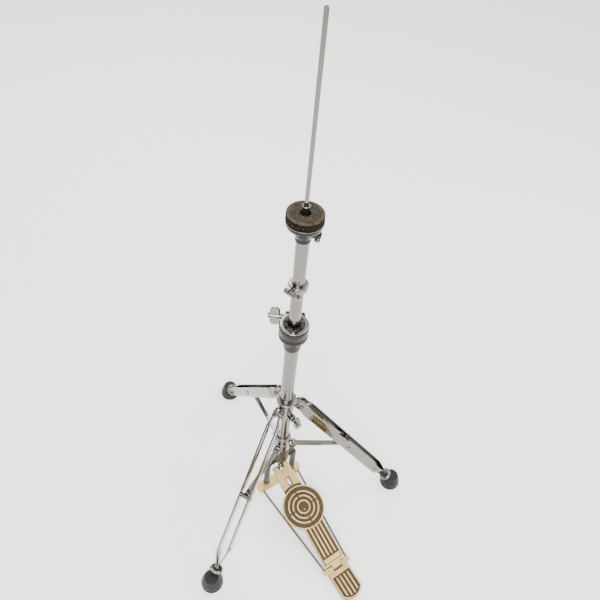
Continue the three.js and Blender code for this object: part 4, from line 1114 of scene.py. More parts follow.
class STAND_OT_feet(bpy.types.Operator):
    """Feet: ribbed rubber boots, each closed by a plated ferrule that the strips pass through"""

    bl_idname = "stand.feet"
    bl_label = "Feet"

    def execute(self, context):
        sole = (FOOT_HIGH - FOOT_LOW)[2]
        wide, narrow = 23.0, 14.0
        t = np.linspace(0, 1, 22)
        wall = np.stack([narrow + 1.4 + (wide - 0.8 - narrow - 1.4) * np.cos(t * math.pi / 2) ** 1.3,
                         8.6 + (sole - 10.2) * t], -1)
        for name in LEGS:
            profile = np.concatenate([
                filleted([(0, 0), (wide - 1.6, 0), (wide, 1.4), (wide, 3.6), (wide - 1.1, 4.2),
                          (wide - 1.1, 5.2),
                          (wide, 5.8), (wide, 7.8)], 0.5, closed=False),
                wall, filleted([(narrow + 0.9, sole - 0.6), (narrow - 0.6, sole), (0, sole)], 0.5,
                               closed=False),
            ])
            boot = revolve(profile).moved(FOOT_CIRCLE).turned(LEG_HEADING[name])
            low = -LEG_LENGTH + 29
            pocket = block((-7.3, -3.9, -LEG_LENGTH - GAP), (7.3, 3.9, -LEG_LENGTH + 60), 0.8, 0.5)
            room = rod(14.8, low - GAP, low + 20, 0.3, ROUND)
            piece(f"leg_{name}_boot", [boot], rubber(), f"leg_{name}", [f"leg_{name}_foot"],
                  cut=[on_leg(pocket, name), on_leg(room, name)], bevel=0.5)
            cap = turned([(0, low), (14.5, low), (14.5, low + 2.4), (12.6, low + 3.4), (11.6, low + 4.9),
                          (0, low + 4.9)], 0.8)
            piece(f"leg_{name}_ferrule_plated", [on_leg(cap, name)], cast_chrome(), f"leg_{name}",
                  [f"leg_{name}_ferrule"], cut=[on_leg(pocket, name)], bevel=0.25)
        return {"FINISHED"}


class STAND_OT_leg_collar(bpy.types.Operator):
    """Leg collar: a plated casting with a double rim, a lug for each leg and a boss for its wing bolt"""

    bl_idname = "stand.leg_collar"
    bl_label = "Leg collar"

    def execute(self, context):
        bottom, top = heights("leg_collar")
        wall = LOWER_TUBE + 5.3
        skirt = LOWER_TUBE + 3.5
        ring = top - 27
        pivot_height = LEG_PIVOT[2]
        body = turned([
            (0, bottom), (skirt, bottom), (skirt, bottom + 3), (skirt - 0.7, bottom + 3.8),
            (skirt - 0.7, ring - 2),
            (wall, ring + 3), (wall, top - 8.4), (wall + 1.1, top - 7.8), (wall + 1.1, top - 5.6),
            (wall, top - 5),
            (wall + 2, top - 4.2), (wall + 2, top - 1), (wall + 0.6, top), (0, top),
        ], 0.7)
        half = (STRIP_HEAD_SPACING - sizes().strip_thickness) / 2 - GAP
        lug = upright(np.concatenate([
            [(0, pivot_height - 7), (LEG_PIVOT_RADIUS, pivot_height - 7)],
            arc(7, -89, 89, 20, LEG_PIVOT_RADIUS, pivot_height), [(LEG_PIVOT_RADIUS, pivot_height + 7),
                                                                 (0, pivot_height + 7)],
        ]), -half, half, 1.0)
        lugs = [lug.turned(LEG_HEADING[name]) for name in LEGS]
        holes = [along(rod(2.8, -14, 14), "Y").moved(LEG_PIVOT_RADIUS, 0,
                                                     pivot_height).turned(LEG_HEADING[name])
                 for name in LEGS]
        bolt_height = pivot("collar_bolt_turn")[2]
        boss = along(turned([(0, 0), (8, 0), (8, 23.2), (6.6, 25), (0, 25)], 0.8), "X")
        boss = boss.moved(z=bolt_height).turned(COLLAR_BOLT_HEADING)
        bore = rod(LOWER_TUBE + GAP, bottom - CUT, top + CUT, 0.1, ROUND)
        bolt_hole = along(rod(3.3, 2, 40), "X").moved(z=bolt_height).turned(COLLAR_BOLT_HEADING)
        piece("leg_collar_cast", [body, *lugs, boss], cast_chrome(), "collar", ["leg_collar"],
              cut=[bore, *holes, bolt_hole], bevel=0.4)
        bolt = [s.moved(25.5, 0, bolt_height).turned(COLLAR_BOLT_HEADING) for s in wing_bolt(3, 10.2, 20,
                                                                                             16, 9, 80)]
        piece("collar_wing_bolt_cast", bolt, cast_chrome(), "collar_bolt", ["collar_wing_bolt"])
        return {"FINISHED"}


class STAND_OT_struts(bpy.types.Operator):
    """Strut hub and struts: a plated hub with three forks, and folded channels that brace the legs"""

    bl_idname = "stand.struts"
    bl_label = "Struts"

    def execute(self, context):
        bottom, top = heights("strut_hub")
        wall = LOWER_TUBE + 4.8
        pivot_height = STRUT_PIVOT[2]
        out = STRUT_PIVOT_RADIUS
        body = turned([
            (0, bottom), (wall, bottom), (wall, bottom + 24), (wall - 1.2, bottom + 26),
            (wall - 1.2, top - 9),
            (wall, top - 8), (wall, top - 5.4), (wall - 1.6, top - 4), (wall - 1.6, top - 1.2),
            (wall - 2.6, top),
            (0, top),
        ], 0.7)
        forks, holes = [], []
        for name in LEGS:
            for side in (-1, 1):
                near = 4.8 if side > 0 else -7.8
                fork = upright(np.concatenate([
                    [(0, pivot_height - 5.2), (out, pivot_height - 5.2)],
                    arc(5.2, -88, 88, 16, out, pivot_height),
                    [(out, pivot_height + 5.2), (0, pivot_height + 5.2)],
                ]), near, near + 3, 0.5)
                forks.append(fork.turned(LEG_HEADING[name]))
            holes.append(along(rod(2.3, -12, 12), "Y").moved(out, 0, pivot_height).turned(LEG_HEADING[name]))
        bore = rod(LOWER_TUBE + GAP, bottom - CUT, top + CUT, 0.1, ROUND)
        piece("strut_hub_cast", [body, *forks], cast_chrome(), "stand", ["strut_hub"],
              cut=[bore, *holes], bevel=0.3)
        for name in LEGS:
            def place(shell):
                return shell.turned(-STRUT_TILT, "Y").moved(out, 0, pivot_height).turned(LEG_HEADING[name])

            section = filleted([(-4.5, -4.5), (4.5, -4.5), (4.5, 4.5), (-4.5, 4.5)], [0.5, 0.5, 3.4, 3.4], 8)
            bar = along(slab(section, 0, STRUT_LENGTH, 0.5).turned(-90), "X")
            eye = along(rod(5.2, -4.5, 4.5, 0.6), "Y")
            half = (STRIP_SPACING - sizes().strip_thickness) / 2 - GAP
            cross = along(rod(4.6, -half, half, 0.5), "Y").moved(STRUT_LENGTH)
            hollow = block((10.4, -2.7, -9), (STRUT_LENGTH - 9.2, 2.7, 2.7), 0.8, 0.6)
            hole = along(rod(2.3, -9, 9), "Y")
            piece(f"strut_{name}_folded", [place(bar), place(eye), place(cross)], chrome(), f"strut_{name}",
                  [f"strut_{name}"], cut=[place(hollow), place(hole)], bevel=0.25)
            pin = along(turned([(0, -8.1), (2, -8.1), (2, 8.1), (0, 8.1)], 0.4, SMALL), "Y")
            pin = pin.moved(out, 0, pivot_height).turned(LEG_HEADING[name])
            piece(f"strut_{name}_pin_turned", pin, steel(), "stand", [f"strut_{name}_pin"])
        return {"FINISHED"}


# ---- Base, yoke and pedal ------------------------------------------------------------------------


class STAND_OT_base(bpy.types.Operator):
    """Base bar with its two foot blocks, and the yoke casting that stands on it and holds the pillar"""

    bl_idname = "stand.base"
    bl_label = "Base and yoke"

    def execute(self, context):
        low, high = span("base_bar")
        block_radius = high[1]
        middle = high[0] - block_radius
        bar_top = BASE_BAR_TOP
        bar = block((-middle, -12, 0), (middle, 12, bar_top), 3.0, 1.2)
        blocks = [turned([(0, 0), (block_radius - 0.6, 0), (block_radius - 0.4, high[2] - 4),
                          (block_radius - 3.4, high[2]), (0, high[2])],
                          1.4).moved(s * middle) for s in (-1, 1)]
        bases = [turned([(0, 0), (block_radius, 0), (block_radius, 4), (block_radius - 1, 5), (0, 5)], 0.5)
                 .moved(s * middle) for s in (-1, 1)]
        pads = [block((min(s * 27.0, s * middle), -8, 0.05),
                      (max(s * 27.0, s * middle), 8, high[2] - 0.05), 1.2, 1.0)
                for s in (-1, 1)]
        foot = heights("yoke_frame")[0] - GAP
        pockets = [block((min(s * 28.7, s * 41.3), -6.3, foot), (max(s * 28.7, s * 41.3), 6.3, high[2] + CUT),
                         1.0, 0.1) for s in (-1, 1)]
        wire_height = heights("stabiliser_wire_right")[0] + 2.25
        holes = [along(rod(2.6, -20, -1.5), "Y").moved(s * WIRE_X, 0, wire_height) for s in (-1, 1)]
        piece("base_bar_cast", [bar, *pads, *blocks, *bases], plain_cream(), "stand",
              ["base_bar"],
              cut=pockets + holes, bevel=0.3)

        low, high = span("yoke_frame")
        foot, socket_top = low[2], high[2]
        arch, half, shoulder, opening = 112.0, 41.0, 38.0, 29.0
        socket = LOWER_TUBE + 4.3
        side = [(half, foot), (half - 0.6, arch - 12), (shoulder, arch + 2), (shoulder - 3, arch + 16),
                (socket + 11, arch + 30), (socket + 1, arch + 42), (socket - 1, socket_top - 6)]
        inner = [(opening, foot), (opening, arch - 18), (opening - 6, arch - 4), (opening - 16, arch)]
        outline = side + [(-x, z) for x, z in side[::-1]] + [(-x, z) for x, z in inner] + inner[::-1]
        front = filleted(outline, [2] + [9] * 5 + [3] * 2 + [9] * 5 + [2] * 2 + [10] * 6 + [2], 6)
        depth = 8.0
        web = upright(front, -4.5, 4.5, 1.5)
        legs = [upright(rectangle(*sorted((s * (opening + 0.3), s * (half - 1))), foot, arch + 2, 3.0),
                        -6.0, 6.0, 2.2) for s in (-1, 1)]
        ledge = block((-shoulder + 1, -depth, arch + 1.5), (shoulder - 1, depth, arch + 6.5), 4.0, 1.6)
        ribs = [slab(filleted([(s * 14, -6), (s * 14, 6), (s * 18, 6), (s * 18, -6)], 1.5), arch + 4,
                     arch + 30, 1.5)
                for s in (-1, 1)]
        pipe_body = turned([(0, arch), (12.2, arch), (12.5, arch + 5), (socket + 0.4, arch + 7),
                            (socket - 0.6, arch + 30), (socket - 0.6, socket_top - 9),
                            (socket, socket_top - 8),
                            (socket, socket_top - 1), (socket - 1, socket_top), (0, socket_top)], 1.2)
        bore = [turned([(0, heights("lower_tube")[0] - GAP),
                        (LOWER_TUBE + GAP, heights("lower_tube")[0] - GAP),
                        (LOWER_TUBE + GAP, socket_top + CUT), (0, socket_top + CUT)], 0.2),
                rod(9.4, arch - 6, arch + 60, 0.2)]
        piece("yoke_casting", [web, *legs, ledge, *ribs, pipe_body], dark_casting(), "stand",
              ["yoke_frame"], cut=bore, cast=(0.9, 6), sharp=50.0)
        return {"FINISHED"}


BASE_BAR_TOP = 9.0
BOARD_TOP = 5.0
WIRE_X = 49.0                # the wires' places, in the foot blocks and in the heel's ears
EAR_X = 29.5
HALF_STRIP = 24.5
DISC_RADIUS = 48.5
DISC_ALONG = 141.0
RIM = 2.8
BOARD_EDGE = 9.0
PLATE_START = 13.6
PLATE_END = 23.0
SLOT = (198.5, 214.0, 3.2)
SLOT_RECESS = (193.0, 217.0, 5.8)
TOE_END = TOE_ALONG + 6
NOTCH_HALF = 7.5
NOTCH_DEPTH = 14.0
BAR_PITCH = 9.2


def on_pedal(shell):
    """From the pedal's own axes, hinge along X at the origin and toe towards +Y, to its place."""
    return shell.turned(PEDAL_REST, "X").moved(*HINGE)


def pedal_place(finish, degrees):
    """Object coordinates turned back to the pedal's own axes, in metres."""
    matrix = np.array(Matrix.Rotation(math.radians(-degrees), 3, "X"))
    return finish.mapped(turn=(-degrees, 0, 0), shift=tuple(-(matrix @ (HINGE * MM))))


def recess_finish(name, degrees, top, shape):
    """The pedal's casting: cream, brown at its top's level where shape(x, y) is 1, and a painted shade of that
    brown on its sides and underside.
    """
    f = Finish(name)
    x, y, z = f.axes(pedal_place(f, degrees))
    low = z.within((top - 0.5) * MM, (top - 0.15) * MM)
    high = z.within((top + 0.25) * MM, (top + 0.55) * MM)
    # Painted shade: every face below the top, its sides and underside, is tinted three quarters of the way to
    # the recess brown.
    sides = (1 - low) * 0.75
    recess_and_side_shade = shape(x, y) * low * (1 - high) + sides
    tone, rough, metal, normal = cream_wear(f, recess_and_side_shade)
    return f.surface(base_color=tone, metallic=metal, roughness=rough, normal=normal)


@once
def footboard_cast():
    def shape(x, y):
        far = (x * x + (y - DISC_ALONG * MM) * (y - DISC_ALONG * MM)).root()
        disc = far < (DISC_RADIUS - RIM / 2) * MM
        # neck: a brown band on the flat board just past the disc's rim on the toe side, level with the cream
        # toe; the board has no recess there.
        neck = (far > DISC_RADIUS * MM) * (far < (DISC_RADIUS + 5.5) * MM) * (y > DISC_ALONG * MM)
        strip = (abs(x) < (HALF_STRIP - RIM / 2) * MM) * (y < DISC_ALONG * MM) * (y > (PLATE_START - 2) * MM)
        return 1 - (1 - disc) * (1 - neck) * (1 - strip)

    return recess_finish("footboard_cast", PEDAL_REST, BOARD_TOP, shape)


HEEL_TOP = -2.0
HEEL_HALF = 25.0
HEEL_RECESS = (-72.0, -17.0)


@once
def heel_cast():
    def shape(x, y):
        return (abs(x) < (HEEL_HALF - RIM / 2) * MM) * (y < HEEL_RECESS[1] * MM)

    return recess_finish("heel_cast", 0.0, HEEL_TOP, shape)


def board_outline():
    """The footboard from above: a strip, the disc's two arcs, and a toe that narrows to its notch."""
    meet = math.degrees(math.acos(HALF_STRIP / DISC_RADIUS))
    toe_half, toe_wide = 19.5, 22.7
    toe_meet = math.degrees(math.acos(toe_wide / DISC_RADIUS))
    right = arc(DISC_RADIUS, -meet, toe_meet, 48, 0, DISC_ALONG)
    corners = filleted([(toe_wide, right[-1][1]), (toe_half, TOE_END), (NOTCH_HALF, TOE_END),
                        (NOTCH_HALF, TOE_END - NOTCH_DEPTH), (-NOTCH_HALF, TOE_END - NOTCH_DEPTH),
                        (-NOTCH_HALF, TOE_END), (-toe_half, TOE_END), (-toe_wide, right[-1][1])],
                       [0, 3, 2, 2.5, 2.5, 2, 3, 0], 6, closed=False)
    left = right[::-1] * np.array([-1, 1])
    return np.concatenate([[(-HALF_STRIP, BOARD_EDGE), (HALF_STRIP, BOARD_EDGE)],
                           right[:-1], corners, left[1:]])


def ring_arcs(radius, wide, gaps, level):
    """A raised ring, broken by gaps centred on the pedal's own two axes."""
    if not gaps:
        return [revolve(filleted([(radius - wide / 2, level - 0.5), (radius + wide / 2, level - 0.5),
                                  (radius + wide / 2, level + sizes().relief),
                                  (radius - wide / 2, level + sizes().relief)], 0.5)).moved(y=DISC_ALONG)]
    open_angle = math.degrees((wide / 2 + 1.6) / radius)
    return [slab(arc_band(radius, wide, 90 * i + open_angle, 90 * i + 90 - open_angle), level - 0.5,
                 level + sizes().relief, 0.5).moved(y=DISC_ALONG) for i in range(4)]


class STAND_OT_footboard(bpy.types.Operator):
    """Footboard: a cast plate with a disc of broken rings, long raised bars, a blank plate, a slot, toe
    bosses and a hinge tongue"""

    bl_idname = "stand.footboard"
    bl_label = "Footboard"

    def execute(self, context):
        size = sizes()
        top, raised_top = BOARD_TOP, BOARD_TOP + size.relief
        plate = slab(board_outline(), top - size.board_thickness, top, 0.9)
        parts = [plate]
        for s in (-1, 1):
            x = sorted((s * NOTCH_HALF, s * 19.5))
            parts.append(block((x[0] + 0.05, TOE_END - NOTCH_DEPTH, top - 9),
                               (x[1] - 0.05, TOE_END - 0.3, top - 0.2),
                               2.0, 1.0))
        tongue = filleted([(BOARD_EDGE + 2, -1), (BOARD_EDGE + 2, top - 0.1), (-1, 5.6), (-4.6, 3.6),
                           (-5.9, 0),
                           (-4.6, -3.6), (0, -5.8), (3, -4)], 1.5)
        parts.append(slab(tongue, -10.2, 10.2, 0.5).mapped(lambda x, y, z: (z, x, y)))
        parts.append(block((-HALF_STRIP + 0.2, BOARD_EDGE + 0.1, top - 1),
                           (HALF_STRIP - 0.2, PLATE_START - 1.4, raised_top),
                           0.8, 0.4))
        parts.append(block((-HALF_STRIP + 4.2, PLATE_START, top - 0.5),
                           (HALF_STRIP - 4.2, PLATE_END, raised_top),
                           0.8, 0.4))
        meet = DISC_ALONG - math.sqrt(DISC_RADIUS ** 2 - HALF_STRIP ** 2)
        for s in (-1, 1):
            x = sorted((s * (HALF_STRIP - RIM), s * (HALF_STRIP - 0.05)))
            parts.append(block((x[0], BOARD_EDGE + 1, top - 0.5), (x[1], meet + 1.5, raised_top), 0.5, 0.45))
        for i in range(4):
            bar = oblong(size.bar_width / 2, PLATE_END + 4, DISC_ALONG - DISC_RADIUS + 4)
            parts.append(slab(bar, top - 0.5, raised_top, 0.55).moved(x=(i - 1.5) * BAR_PITCH))
        rim = revolve(filleted([(DISC_RADIUS - RIM, top - 0.5), (DISC_RADIUS - 0.05, top - 0.5),
                                (DISC_RADIUS - 0.05, raised_top), (DISC_RADIUS - RIM, raised_top)], 0.5))
        parts.append(rim.moved(y=DISC_ALONG))
        for radius, gaps in ((34.5, True), (24.5, True), (14.0, False)):
            parts += ring_arcs(radius, size.ring_width, gaps, top)
        stud = turned([(0, top - 1), (1.7, top - 1), (1.5, top + 0.9), (0, top + 1.1)], 0.4, SMALL)
        parts.append(stud.moved(x=-1.0, y=DISC_ALONG - 5.5))
        for s in (-1, 1):
            rib = filleted([(s * 15, 14), (s * 17.5, 14), (s * 17.5, TOE_END - 20),
                            (s * 15, TOE_END - 20)], 0.8)
            parts.append(slab(rib, top - size.board_thickness - 2.2, top - size.board_thickness + 1, 0.6))
        cuts = [
            slab(rectangle(-SLOT[2], SLOT[2], SLOT[0], SLOT[1], 1.2), -20, 20, 0.1),
            slab(rectangle(-SLOT_RECESS[2], SLOT_RECESS[2], *SLOT_RECESS[:2], 1.6), top - 2.2, 20, 0.1),
            along(rod(2.5, -30, 30), "X"),
            along(rod(2.3, -30, 30), "X").moved(y=TOE_ALONG),
        ]
        piece("footboard_plate", [on_pedal(p) for p in parts], footboard_cast(), "footboard",
              ["footboard"], cut=[on_pedal(c) for c in cuts])
        half = TOE_HIGH[0]
        pin = along(turned([(0, -half), (2, -half), (2, half), (0, half)], 0.5, SMALL), "X")
        piece("toe_pin_turned", on_pedal(pin.moved(y=TOE_ALONG)), steel(), "footboard", ["toe_pin"])
        return {"FINISHED"}


class STAND_OT_heel(bpy.types.Operator):
    """Heel plate: a cast plate with four raised bars inside a rim, knuckles round the hinge pin and an ear
    at each side for its wire"""

    bl_idname = "stand.heel"
    bl_label = "Heel plate"

    def execute(self, context):
        size = sizes()
        low, _ = span("heel_plate")
        length_back = HINGE[1] - low[1]
        thick = HEEL_TOP + HINGE[2]
        end_radius = 31.0
        centre = -length_back + end_radius
        spread = math.degrees(math.asin(HEEL_HALF / end_radius))
        end = arc(end_radius, 270 - spread, 270 + spread, 32, 0, centre)
        outline = np.concatenate([[(HEEL_HALF, -7), (-HEEL_HALF, -7)], end])
        parts = [slab(outline, 0, thick, 1.0)]
        raised_top = thick + size.relief
        rim = np.concatenate([[(HEEL_HALF - 0.3, -8), (-HEEL_HALF + 0.3, -8)], end * 0.992 + [0, -0.3]])
        parts.append(band(rim, RIM, thick - 0.5, raised_top, 0.4))
        parts.append(block((-HEEL_HALF + 0.8, HEEL_RECESS[1], thick - 1),
                           (HEEL_HALF - 0.8, -7.2, raised_top), 0.8, 0.4))
        for i in range(4):
            x = (i - 1.5) * BAR_PITCH
            tip = centre - math.sqrt((end_radius - 6.5) ** 2 - x ** 2)
            bar = oblong(size.bar_width / 2, tip, HEEL_RECESS[1] - 3.5)
            parts.append(slab(bar, thick - 0.5, raised_top, 0.55).moved(x=x))
        # A low block under the hinge gap, which the painted side shade makes brown so that the gap reads dark:
        # a dark thing put where there is only shade.
        parts.append(block((-HEEL_HALF + 1, -8, 0.05), (HEEL_HALF - 1, BOARD_EDGE - 0.1, 2.9), 0.8, 0.5))
        for s in (-1, 1):
            x = sorted((s * 11.4, s * HEEL_HALF))
            parts.append(block((x[0], -8, 0.05), (x[1], 4, HINGE[2] + 4.4), 0.8, 0.7))
            knuckle = along(rod(6, x[0], x[1], 0.6, ROUND), "X").moved(z=HINGE[2])
            ear = along(turned([(0, 23), (5.3, 23), (5.3, 32.2), (4.2, 34), (0, 34)], 0.8), "X")
            parts += [knuckle, (ear if s > 0 else ear.turned(180)).moved(z=HINGE[2])]
        cuts = [along(rod(2.5, -26, 26), "X").moved(z=HINGE[2])]
        cuts += [along(rod(2.55, 0.4, 9), "Y").moved(s * EAR_X, 0, HINGE[2]) for s in (-1, 1)]
        piece("heel_plate_cast", [p.moved(y=HINGE[1]) for p in parts], heel_cast(), "stand",
              ["heel_plate"], cut=[c.moved(y=HINGE[1]) for c in cuts])
        half = span("heel_hinge_pin")[1][0]
        pin = along(turned([(0, -half), (2.2, -half), (2.2, half), (0, half)], 0.5, SMALL), "X")
        piece("heel_hinge_pin_turned", pin.moved(*HINGE), steel(), "stand", ["heel_hinge_pin"])
        return {"FINISHED"}


class STAND_OT_wires(bpy.types.Operator):
    """Stabiliser wires: a round section carried from each foot block, bent at both ends, into the heel's ear"""

    bl_idname = "stand.wires"
    bl_label = "Stabiliser wires"

    def execute(self, context):
        low, high = span("stabiliser_wire_right")
        radius = 2.25
        start = (WIRE_X, high[1] - 0.3, low[2] + radius)
        route = np.array([start, (WIRE_X, -18, start[2]), (EAR_X, HINGE[1] + 12, HINGE[2]),
                          (EAR_X, HINGE[1] + 2.2, HINGE[2])])
        path = filleted(route, [0, 9, 5, 0], 12, closed=False)
        for side, name in ((-1, "left"), (1, "right")):
            shell = carried(arc(radius, 0, 360, 25)[:-1], path * np.array([side, 1, 1]))
            piece(f"wire_{name}_drawn", shell, bright_wire(), "stand", [f"stabiliser_wire_{name}"])
        return {"FINISHED"}


class STAND_OT_chain(bpy.types.Operator):
    """Chain: two links of waisted side plates, joined by bushes and rivets, from the rod to the toe pin"""

    bl_idname = "stand.chain"
    bl_label = "Chain"

    def execute(self, context):
        reach = math.hypot(TOE_PIN[1] - CLEVIS[1], CLEVIS[2] - TOE_PIN[2])
        tilt = math.degrees(math.atan2(TOE_PIN[1] - CLEVIS[1], CLEVIS[2] - TOE_PIN[2]))
        half = reach / 2

        def plate(side, middle, top, end_radius):
            """A plate across Y and Z: two round ends and a waist, as one outline."""
            waist = 2.6
            outline = np.concatenate([
                arc(4, -25, 205, 20, 0, top), [(-waist, top - half * 0.4), (-waist, top - half * 0.6)],
                arc(end_radius, 150, 390, 24, 0, top - half),
                [(waist, top - half * 0.6), (waist, top - half * 0.4)],
            ])
            return slab(outline, middle - 0.7, middle + 0.7, 0.35).mapped(lambda x, y, z: (z * side, x, y))

        def hung(shell):
            return shell.turned(tilt, "X").moved(*CLEVIS)

        inner, outer = 2.9, 4.6
        upper = [plate(s, inner, 0, 4) for s in (-1, 1)]
        upper += [along(rod(2.7, -inner, inner, 0.2), "X").moved(z=z) for z in (0, -half)]
        holes = [along(rod(1.8, -9, 9, 0.1), "X").moved(z=z) for z in (0, -half)]
        piece("chain_upper_plates", [hung(s) for s in upper], chain_brown(), "chain",
              ["chain_upper_link"], cut=[hung(h) for h in holes])
        lower = [plate(s, outer, -half, 6.4) for s in (-1, 1)]
        lower += [along(rod(1.5, -outer - 1.3, outer + 1.3, 0.3), "X").moved(z=-half)]
        eye = along(rod(3.6, -9, 9, 0.1), "X").moved(z=-reach)
        piece("chain_lower_plates", [hung(s) for s in lower], chain_brown(), "chain",
              ["chain_lower_link"], cut=[hung(eye)])
        return {"FINISHED"}


# ---- Seat for the bottom cymbal ------------------------------------------------------------------


def ripple(points, waves, seed):
    """A smooth uneven field from -1 to 1: the mean of sine waves in fixed, seeded directions."""
    source = np.random.default_rng(seed)
    ways = source.normal(size=(waves, 3))
    ways /= np.linalg.norm(ways, axis=1, keepdims=True)
    ways *= source.uniform(0.6, 3.2, (waves, 1))
    phase = source.uniform(0, TAU, waves)
    return np.sin(points @ ways.T + phase).mean(1) * 2.2


class STAND_OT_seat(bpy.types.Operator):
    """Cymbal seat: the felt on its washer in a black cup that tilts on the neck, and the guide sleeve"""

    bl_idname = "stand.seat"
    bl_label = "Cymbal seat"

    def execute(self, context):
        def place(shell):
            return shell.turned(SEAT_HEADING)

        low, high = heights("seat_felt")
        hole = 4.75 + 2.55
        radius = 27.0
        fuzz = sizes().felt_fuzz
        corners = filleted([(hole, low), (radius, low), (radius, high), (hole, high)],
                           [0.8, 0.8, 2.4, 1.4], 9)
        step = np.linalg.norm(np.roll(corners, -1, 0) - corners, axis=1)
        s = np.concatenate([[0], np.cumsum(step)])
        closed = np.vstack([corners, corners[:1]])
        at = np.linspace(0, s[-1], 120, endpoint=False)
        profile = np.stack([np.interp(at, s, closed[:, 0]), np.interp(at, s, closed[:, 1])], -1)
        shell = revolve(profile, 360)
        middle = np.array([0, 0, (low + high) / 2])
        out = shell.points - middle
        ring = out.copy()
        ring[:, 2] = 0
        ring *= ((radius + hole) / 2) / np.maximum(np.linalg.norm(ring, axis=1, keepdims=True), 1e-9)
        away = out - ring
        away /= np.maximum(np.linalg.norm(away, axis=1, keepdims=True), 1e-9)
        nap = (ripple(shell.points * 2.6, 60, 7) + 0.6 * ripple(shell.points * 0.35, 24, 11)) * 0.5 - 0.6
        shell = Shell(shell.points + away * np.minimum(nap, 0.0)[:, None] * fuzz, shell.faces)
        piece("seat_felt_pressed", place(shell), felt(), "seat", ["seat_felt"], sharp=80.0)

        low, high = heights("seat_washer")
        washer = pipe(radius + 0.4, hole, low, high, 0.35)
        piece("seat_washer_plated", place(washer), chrome(), "seat", ["seat_washer"])

        top = low - GAP
        bottom = top - 13
        t = np.linspace(0, math.pi / 2, 14)
        flare = np.stack([16.5 + 10.4 * np.sin(t), bottom + 0.9 + 9.0 * (1 - np.cos(t))], -1)
        inner = np.stack([13 + 9.6 * np.sin(t), bottom + 4.4 + 6.6 * (1 - np.cos(t))], -1)
        cup = revolve(np.concatenate([
            [(hole, bottom + 3), (hole, bottom), (15.4, bottom)], flare,
            [(radius, top - 0.6), (radius - 0.6, top),
                                                                       (radius - 2.6, top),
                                                                       (radius - 3.2, top - 0.8)],
            inner[::-1], [(12, bottom + 3.4)],
        ]))
        pin = pivot("seat_tilt")
        pin_out = math.hypot(pin[0], pin[1])
        knuckles = []
        for s in (-1, 1):
            near = 2.3 if s > 0 else -6.3
            knuckles.append(upright(np.concatenate([
                arc(2.8, 180, 360, 16, -pin_out, pin[2]),
                [(-pin_out + 2.8, bottom + 2.5), (-pin_out - 2.8, bottom + 2.5)],
            ]), near, near + 4, 0.5))
        hinge_hole = along(rod(1.8, -9, 9), "Y").moved(-pin_out, 0, pin[2])
        piece("seat_cup_gloss", [place(cup), *map(place, knuckles)], black_gloss(), "seat",
              ["seat_cup"], cut=[place(hinge_hole)])

        bottom, top = heights("seat_neck")
        flange_top = 799.0
        arm_top = flange_top - 2
        screw_out = math.hypot(*pivot("tilt_knob_turn")[:2])
        body = turned([(0, bottom), (12, bottom), (12, bottom + 1.2), (11.5, bottom + 6),
                       (14, flange_top - 3.4),
                       (14, flange_top), (0, flange_top)], 0.9)
        arm = slab(np.concatenate([[(4, -5.5), (screw_out, -5.5)], arc(5.5, -88, 88, 20, screw_out, 0),
                                   [(screw_out, 5.5), (4, 5.5)]]), arm_top - 7, arm_top, 1.2)
        lug = upright(np.concatenate([[(-6, flange_top - 7), (-6, flange_top - 1.2)],
                                      arc(3, 90, 270, 18, -pin_out, pin[2] - 0.5),
                                      [(-pin_out + 3, flange_top - 7)]]),
                      -2, 2, 0.5)
        cuts = [
            turned([(0, bottom - CUT), (UPPER_TUBE + GAP, bottom - CUT), (UPPER_TUBE + GAP, flange_top - 3),
                    (5.05, flange_top - 3), (5.05, flange_top + CUT), (0, flange_top + CUT)], 0.1),
            rod(2.8, bottom, top + CUT, 0.1).moved(screw_out),
            hinge_hole,
        ]
        piece("seat_neck_gloss", [place(body), place(arm), place(lug)], black_gloss(), "upper_tube",
              ["seat_neck"], cut=[place(c) for c in cuts], bevel=0.3)
        half = 6.0
        hinge_pin = along(turned([(0, -half), (1.5, -half), (1.5, half), (0, half)], 0.3, SMALL), "Y")
        piece("cup_hinge_pin_turned", place(hinge_pin.moved(-pin_out, 0, pin[2])), steel(), "upper_tube",
              ["cup_hinge_pin"])

        low, high = heights("guide_sleeve")
        sleeve = pipe(4.75, 3.6, low, high, 0.3)
        piece("guide_sleeve_tube", place(sleeve), black_gloss(), "upper_tube",
              ["guide_sleeve"])
        low, high = heights("sleeve_ring")
        flared = revolve(filleted([(3.6, low), (4.9, low), (5.9, low + 1.2), (5.9, high - 0.8), (5.3, high),
                                   (4.2, high), (3.6, high - 0.8)], 0.3))
        piece("sleeve_ring_flared", place(flared), cast_chrome(), "upper_tube", ["sleeve_ring"])

        low, high = heights("tilt_screw")
        screw = thread(2.5, sizes().thread_pitch * 0.8, low, high, 0.35)
        piece("tilt_screw_threaded", place(screw.moved(screw_out)), steel(), "tilt_screw",
              ["tilt_screw"])
        low, high = heights("tilt_knob")
        knob = revolve(filleted([(2.8, low), (4, low), (4.6, low + 0.7), (4.6, high - 0.7), (4, high),
                                 (2.8, high)],
                                0.3), 72)
        angle = np.arctan2(knob.points[:, 1], knob.points[:, 0])
        wide = np.hypot(knob.points[:, 0], knob.points[:, 1])
        knurl = 1 - 0.035 * (wide > 4.3) * (0.5 - 0.5 * np.cos(24 * angle))
        knob = Shell(knob.points * np.stack([knurl, knurl, np.ones_like(knurl)], -1), knob.faces)
        piece("tilt_knob_knurled", place(knob.moved(screw_out)), cast_chrome(), "tilt_knob",
              ["tilt_knob"])
        return {"FINISHED"}


# ---- Floor, light and camera ---------------------------------------------------------------------

CAMERA_PLACE = (-0.3508, -0.4603, 1.2991)
CAMERA_HEADING = 52.19       # degrees, from +X
CAMERA_DOWN = 48.05
CAMERA_ROLL = -6.24
CAMERA_LENS = 33.215         # on a 36 mm sensor


